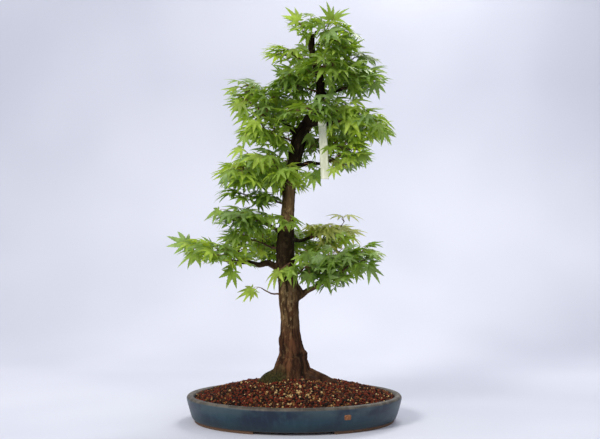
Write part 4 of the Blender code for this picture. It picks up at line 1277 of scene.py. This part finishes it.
def insideBox(points):
    slack = growth["boxRoom"]
    low, high = (Vector(corner) - home for corner in cadBox)
    return all(low[k] - slack[k] < p[k] < high[k] + slack[k] for p in points for k in range(3))


# 'deep' is a darker copy of 'mid' and paints shade where it is dealt, most of all in the lower right and back
# masses; 'cool' is a bluer green that paints the sky's sheen on the leaves; the yellow-green of young leaves,
# given most of all to the lower left masses, also paints the light that falls there
tints = {  # blade, vein, roughness
    "mid": ((146, 174, 76), (184, 200, 116), 0.46),
    "deep": ((116, 146, 60), (154, 172, 94), 0.48),
    "cool": ((142, 170, 104), (180, 196, 140), 0.38),
    "fresh": ((176, 200, 88), (206, 216, 132), 0.45),
    "olive": ((166, 174, 96), (192, 172, 116), 0.48),
}


def leafFinish(name, colour, rough, glow=0.35):  # glow is the share of light that comes through
    f = Finish(name, Specular_IOR_Level=0.32, Roughness=rough)
    spots = f.noise(46, 3.0)
    fine = f.noise(420, 2.0)
    dark = [c * 0.72 for c in colour]
    shade = f.blend(spots, 0.36, 0.64, dark, colour)
    f.show(Base_Color=shade, Normal=f.bump(fine, 0.25, 0.0004))
    lit = paint(*(min(255, c * k) for c, k in zip(colour, (1.25, 1.25, 0.6))))
    through = f.node("ShaderNodeBsdfTranslucent", {}, {"Color": lit})
    blend = f.node("ShaderNodeMixShader", {}, {0: glow, 1: Wire(f.tree, f.shader.outputs[0]), 2: through})
    output = next(node for node in f.tree.nodes if node.type == "OUTPUT_MATERIAL")
    f.tree.links.new(blend.socket, output.inputs[0])
    return f.material


def woodFinish(name, light, dark, rough):
    f = Finish(name, Specular_IOR_Level=0.3)
    streaks = f.noise((150, 150, 90), 3.0)
    colour = f.blend(streaks, 0.38, 0.62, dark, light)
    return f.show(Base_Color=colour, Roughness=rough + 0.15 * streaks, Normal=f.bump(streaks, 0.4, 0.0004))


def clearTree():  # keeps leaves off the label strip and off the trunk where it shows
    ahead, behind = growth["stripRoom"]
    low, high = (Vector(corner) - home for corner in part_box("label_strip"))
    points, faces = boxShape(low - Vector((0, ahead, 0)), high + Vector((0, behind, 0)))
    morePoints, moreFaces = boxShape(*(Vector(corner) for corner in growth["bareTrunk"]))
    faces += [[k + len(points) for k in face] for face in moreFaces]
    return searchTree(points + morePoints, faces)


keptClear = clearTree()


def buildFoliage():
    taken = [limbTree(trunkRoute), *(limbTree(boughRoute(name)) for name in boughs)]
    rng = random.Random(5)
    blades = {tint: [] for tint in tints}
    holders = {tint: set() for tint in tints}
    twigPoints, twigFaces, stalkPoints, stalkFaces = [], [], [], []
    total = 0
    for seed, name in enumerate(masses):
        mass = Mass(name, seed + 100)
        taken += mass.grow(taken)
        total += len(mass.leaves)
        for leaf in mass.leaves:
            blades[leaf["tint"]].append(leafPoints(leaf, rng))
            holders[leaf["tint"]].add("leaves_" + name)
            root, heart = leaf["root"], leaf["heart"]
            bend = (root + heart) / 2 + up * growth["arch"] * (heart - root).length
            stalk = zip((root, bend, heart + leaf["axis"] * 0.001), growth["stalkRadii"])
            shellRound(list(stalk), 3, stalkPoints, stalkFaces)
        for k, twig in enumerate(mass.twigs):
            shellRound(twig, 7 if k == 0 else 5, twigPoints, twigFaces)
    for tint, shapes in blades.items():
        colour, vein, rough = tints[tint]
        count = len(shapes)
        points = np.concatenate(shapes)
        size = len(shapes[0])
        faces = leafFaces[None] + (np.arange(count) * size)[:, None, None]
        finishes = [leafFinish("leaf_" + tint, colour, rough)]
        finishes.append(leafFinish("vein_" + tint, vein, rough + 0.1, 0.2))
        faces = faces.reshape(-1, 3).tolist()
        piece = addMesh("leaves_" + tint, points, faces, finishes, leafFaceFinish * count, smoothTo=24)
        settle(piece, "leaf", *sorted(holders[tint]))
        print("leaves", tint, count, len(piece.data.polygons), "faces")
    twigWood = woodFinish("twig_bark", (116, 84, 62), (72, 50, 40), 0.65)
    settle(addMesh("twigs", twigPoints, twigFaces, [twigWood], smoothTo=60), "bark")
    stalkSkin = woodFinish("stalk_skin", (132, 122, 66), (122, 78, 52), 0.5)
    settle(addMesh("leaf_stalks", stalkPoints, stalkFaces, [stalkSkin], smoothTo=80), "leaf")
    print("foliage", total, "leaves", len(twigFaces), "twig faces")


buildFoliage()


# Label strip

label = {
    "at": 0.056,
    "width": 0.017,
    "length": 0.112,
    "thickness": 0.0007,
    "lean": 0.006,
    "bow": (-0.0006, 0.003),  # where the strip leaves the loop, and how far it bows out below
    "slack": 0.0019,
    "loop": 20,
    "rows": 46,
    "columns": 6,
}


def labelFinish():
    f = Finish("label_plastic", Specular_IOR_Level=0.5, Roughness=0.34)
    haze = f.noise((90, 90, 30), 4.0)
    marks = f.noise((420, 420, 60), 3.0)
    colour = f.blend(haze, 0.36, 0.64, (206, 209, 184), (236, 236, 218))
    colour = f.mix(f.ease(marks, 0.6, 0.74) * 0.5, colour, paint(170, 174, 144))
    return f.show(Base_Color=colour, Normal=f.bump(haze * 0.6 + marks * 0.4, 0.5, 0.0008))


def buildLabel():
    route = boughRoute("upper_right")
    k = min(range(1, len(route) - 1), key=lambda row: abs(route[row][0].x - label["at"]))
    centre, radius = route[k]
    along = (route[k + 1][0] - route[k - 1][0]).normalized()
    over = (up - along * up.dot(along)).normalized()
    deep = over.cross(along)
    inside = radius + label["slack"]
    path = []
    for n in range(label["loop"]):
        turn = math.radians(8 + 344 * n / label["loop"])
        path.append((inside * math.sin(turn), -inside * math.cos(turn)))
    for n in range(label["rows"] + 1):
        share = n / label["rows"]
        out = label["bow"][0] + label["bow"][1] * math.sin(share * 2.2) * share
        path.append((out, -inside - (label["length"] - inside) * share))
    points, faces = [], []
    for n, (x, z) in enumerate(path):
        lean = label["lean"] * max(0, n - label["loop"]) / label["rows"]
        for c in range(label["columns"] + 1):
            share = c / label["columns"] - 0.5
            wave = 0.0005 * noise.noise(Vector((share * 3, n * 0.16, 2)))
            points.append(centre + along * (share * label["width"] + lean) + over * z + deep * (x + wave))
    columns = label["columns"] + 1
    for n in range(len(path) - 1):
        for c in range(label["columns"]):
            low = n * columns + c
            faces.append((low, low + 1, low + columns + 1, low + columns))
    strip = addMesh("blank_label", points, faces, [labelFinish()], smoothTo=50)
    body = strip.modifiers.new("thick", "SOLIDIFY")
    body.thickness = label["thickness"]
    body.offset = 0
    strip.data = evaluated(strip)
    strip.modifiers.clear()
    settle(strip, "label", "label_strip")
    print("label", len(faces), "faces")


buildLabel()


# Stage, light and camera

stage = {"across": 7.0, "front": -3.6, "back": 1.6, "curve": 0.9, "steps": 16, "height": 3.4}
camera = {"across": 0.0118, "away": 2.1, "height": 0.411, "lens": 61.5, "sensor": 36}
sky = ((0.92, 0.94, 1.0, 1), 0.62)
lamps = {  # place, what it aims at, size, power, colour
    "key": ((-1.6, -2.0, 1.9), (0, 0, 0.42), 0.8, 56, (1.0, 0.97, 0.9)),
    "fill": ((1.8, -1.6, 1.2), (0, 0, 0.4), 1.6, 6, (0.92, 0.95, 1.0)),
    "back": ((0.6, 1.2, 2.0), (0, 0, 0.6), 1.0, 26, (1.0, 0.98, 0.92)),
}


def buildStage():
    f = Finish("pale_sheet", Roughness=0.9, Specular_IOR_Level=0.1)
    soft = f.noise(1.3, 2.0)
    colour = f.blend(soft, 0.3, 0.7, (200, 203, 216), (212, 214, 226))
    sheet = f.show(Base_Color=colour)
    profile = [(stage["front"], 0.0), (stage["back"] - stage["curve"], 0.0)]
    for k in range(1, stage["steps"] + 1):
        turn = math.pi / 2 * k / stage["steps"]
        y = stage["back"] - stage["curve"] + stage["curve"] * math.sin(turn)
        profile.append((y, stage["curve"] * (1 - math.cos(turn))))
    profile.append((stage["back"], stage["height"]))
    points, faces = [], []
    for y, z in profile:
        points += [Vector((-stage["across"] / 2, y, z)), Vector((stage["across"] / 2, y, z))]
    for k in range(len(profile) - 1):
        faces.append((2 * k, 2 * k + 1, 2 * k + 3, 2 * k + 2))
    floor = addMesh("floor", points, faces, [sheet], smoothTo=60)


def addLamp(name, place, aim, size, power, colour):
    lamp = bpy.data.lights.new(name, "AREA")
    lamp.shape = "DISK"
    lamp.size = size
    lamp.energy = power
    lamp.color = colour
    holder = inScene(name, lamp)
    holder.location = place
    holder.rotation_euler = (Vector(aim) - Vector(place)).to_track_quat("-Z", "Y").to_euler()


def buildLight():
    world = bpy.data.worlds.new("studio")
    world.use_nodes = True
    for socket, value in zip(world.node_tree.nodes["Background"].inputs, sky):
        socket.default_value = value
    bpy.context.scene.world = world
    for name, row in lamps.items():
        addLamp(name, *row)
    bpy.context.scene.view_settings.view_transform = "Standard"


def buildCamera():
    lens = bpy.data.cameras.new("camera")
    lens.lens = camera["lens"]
    lens.sensor_width = camera["sensor"]
    holder = inScene("camera", lens)
    holder.location = home + Vector((camera["across"], -camera["away"], camera["height"]))
    holder.rotation_euler = (math.pi / 2, 0, 0)
    bpy.context.scene.camera = holder


buildStage()
buildLight()
buildCamera()
print("stage and camera")
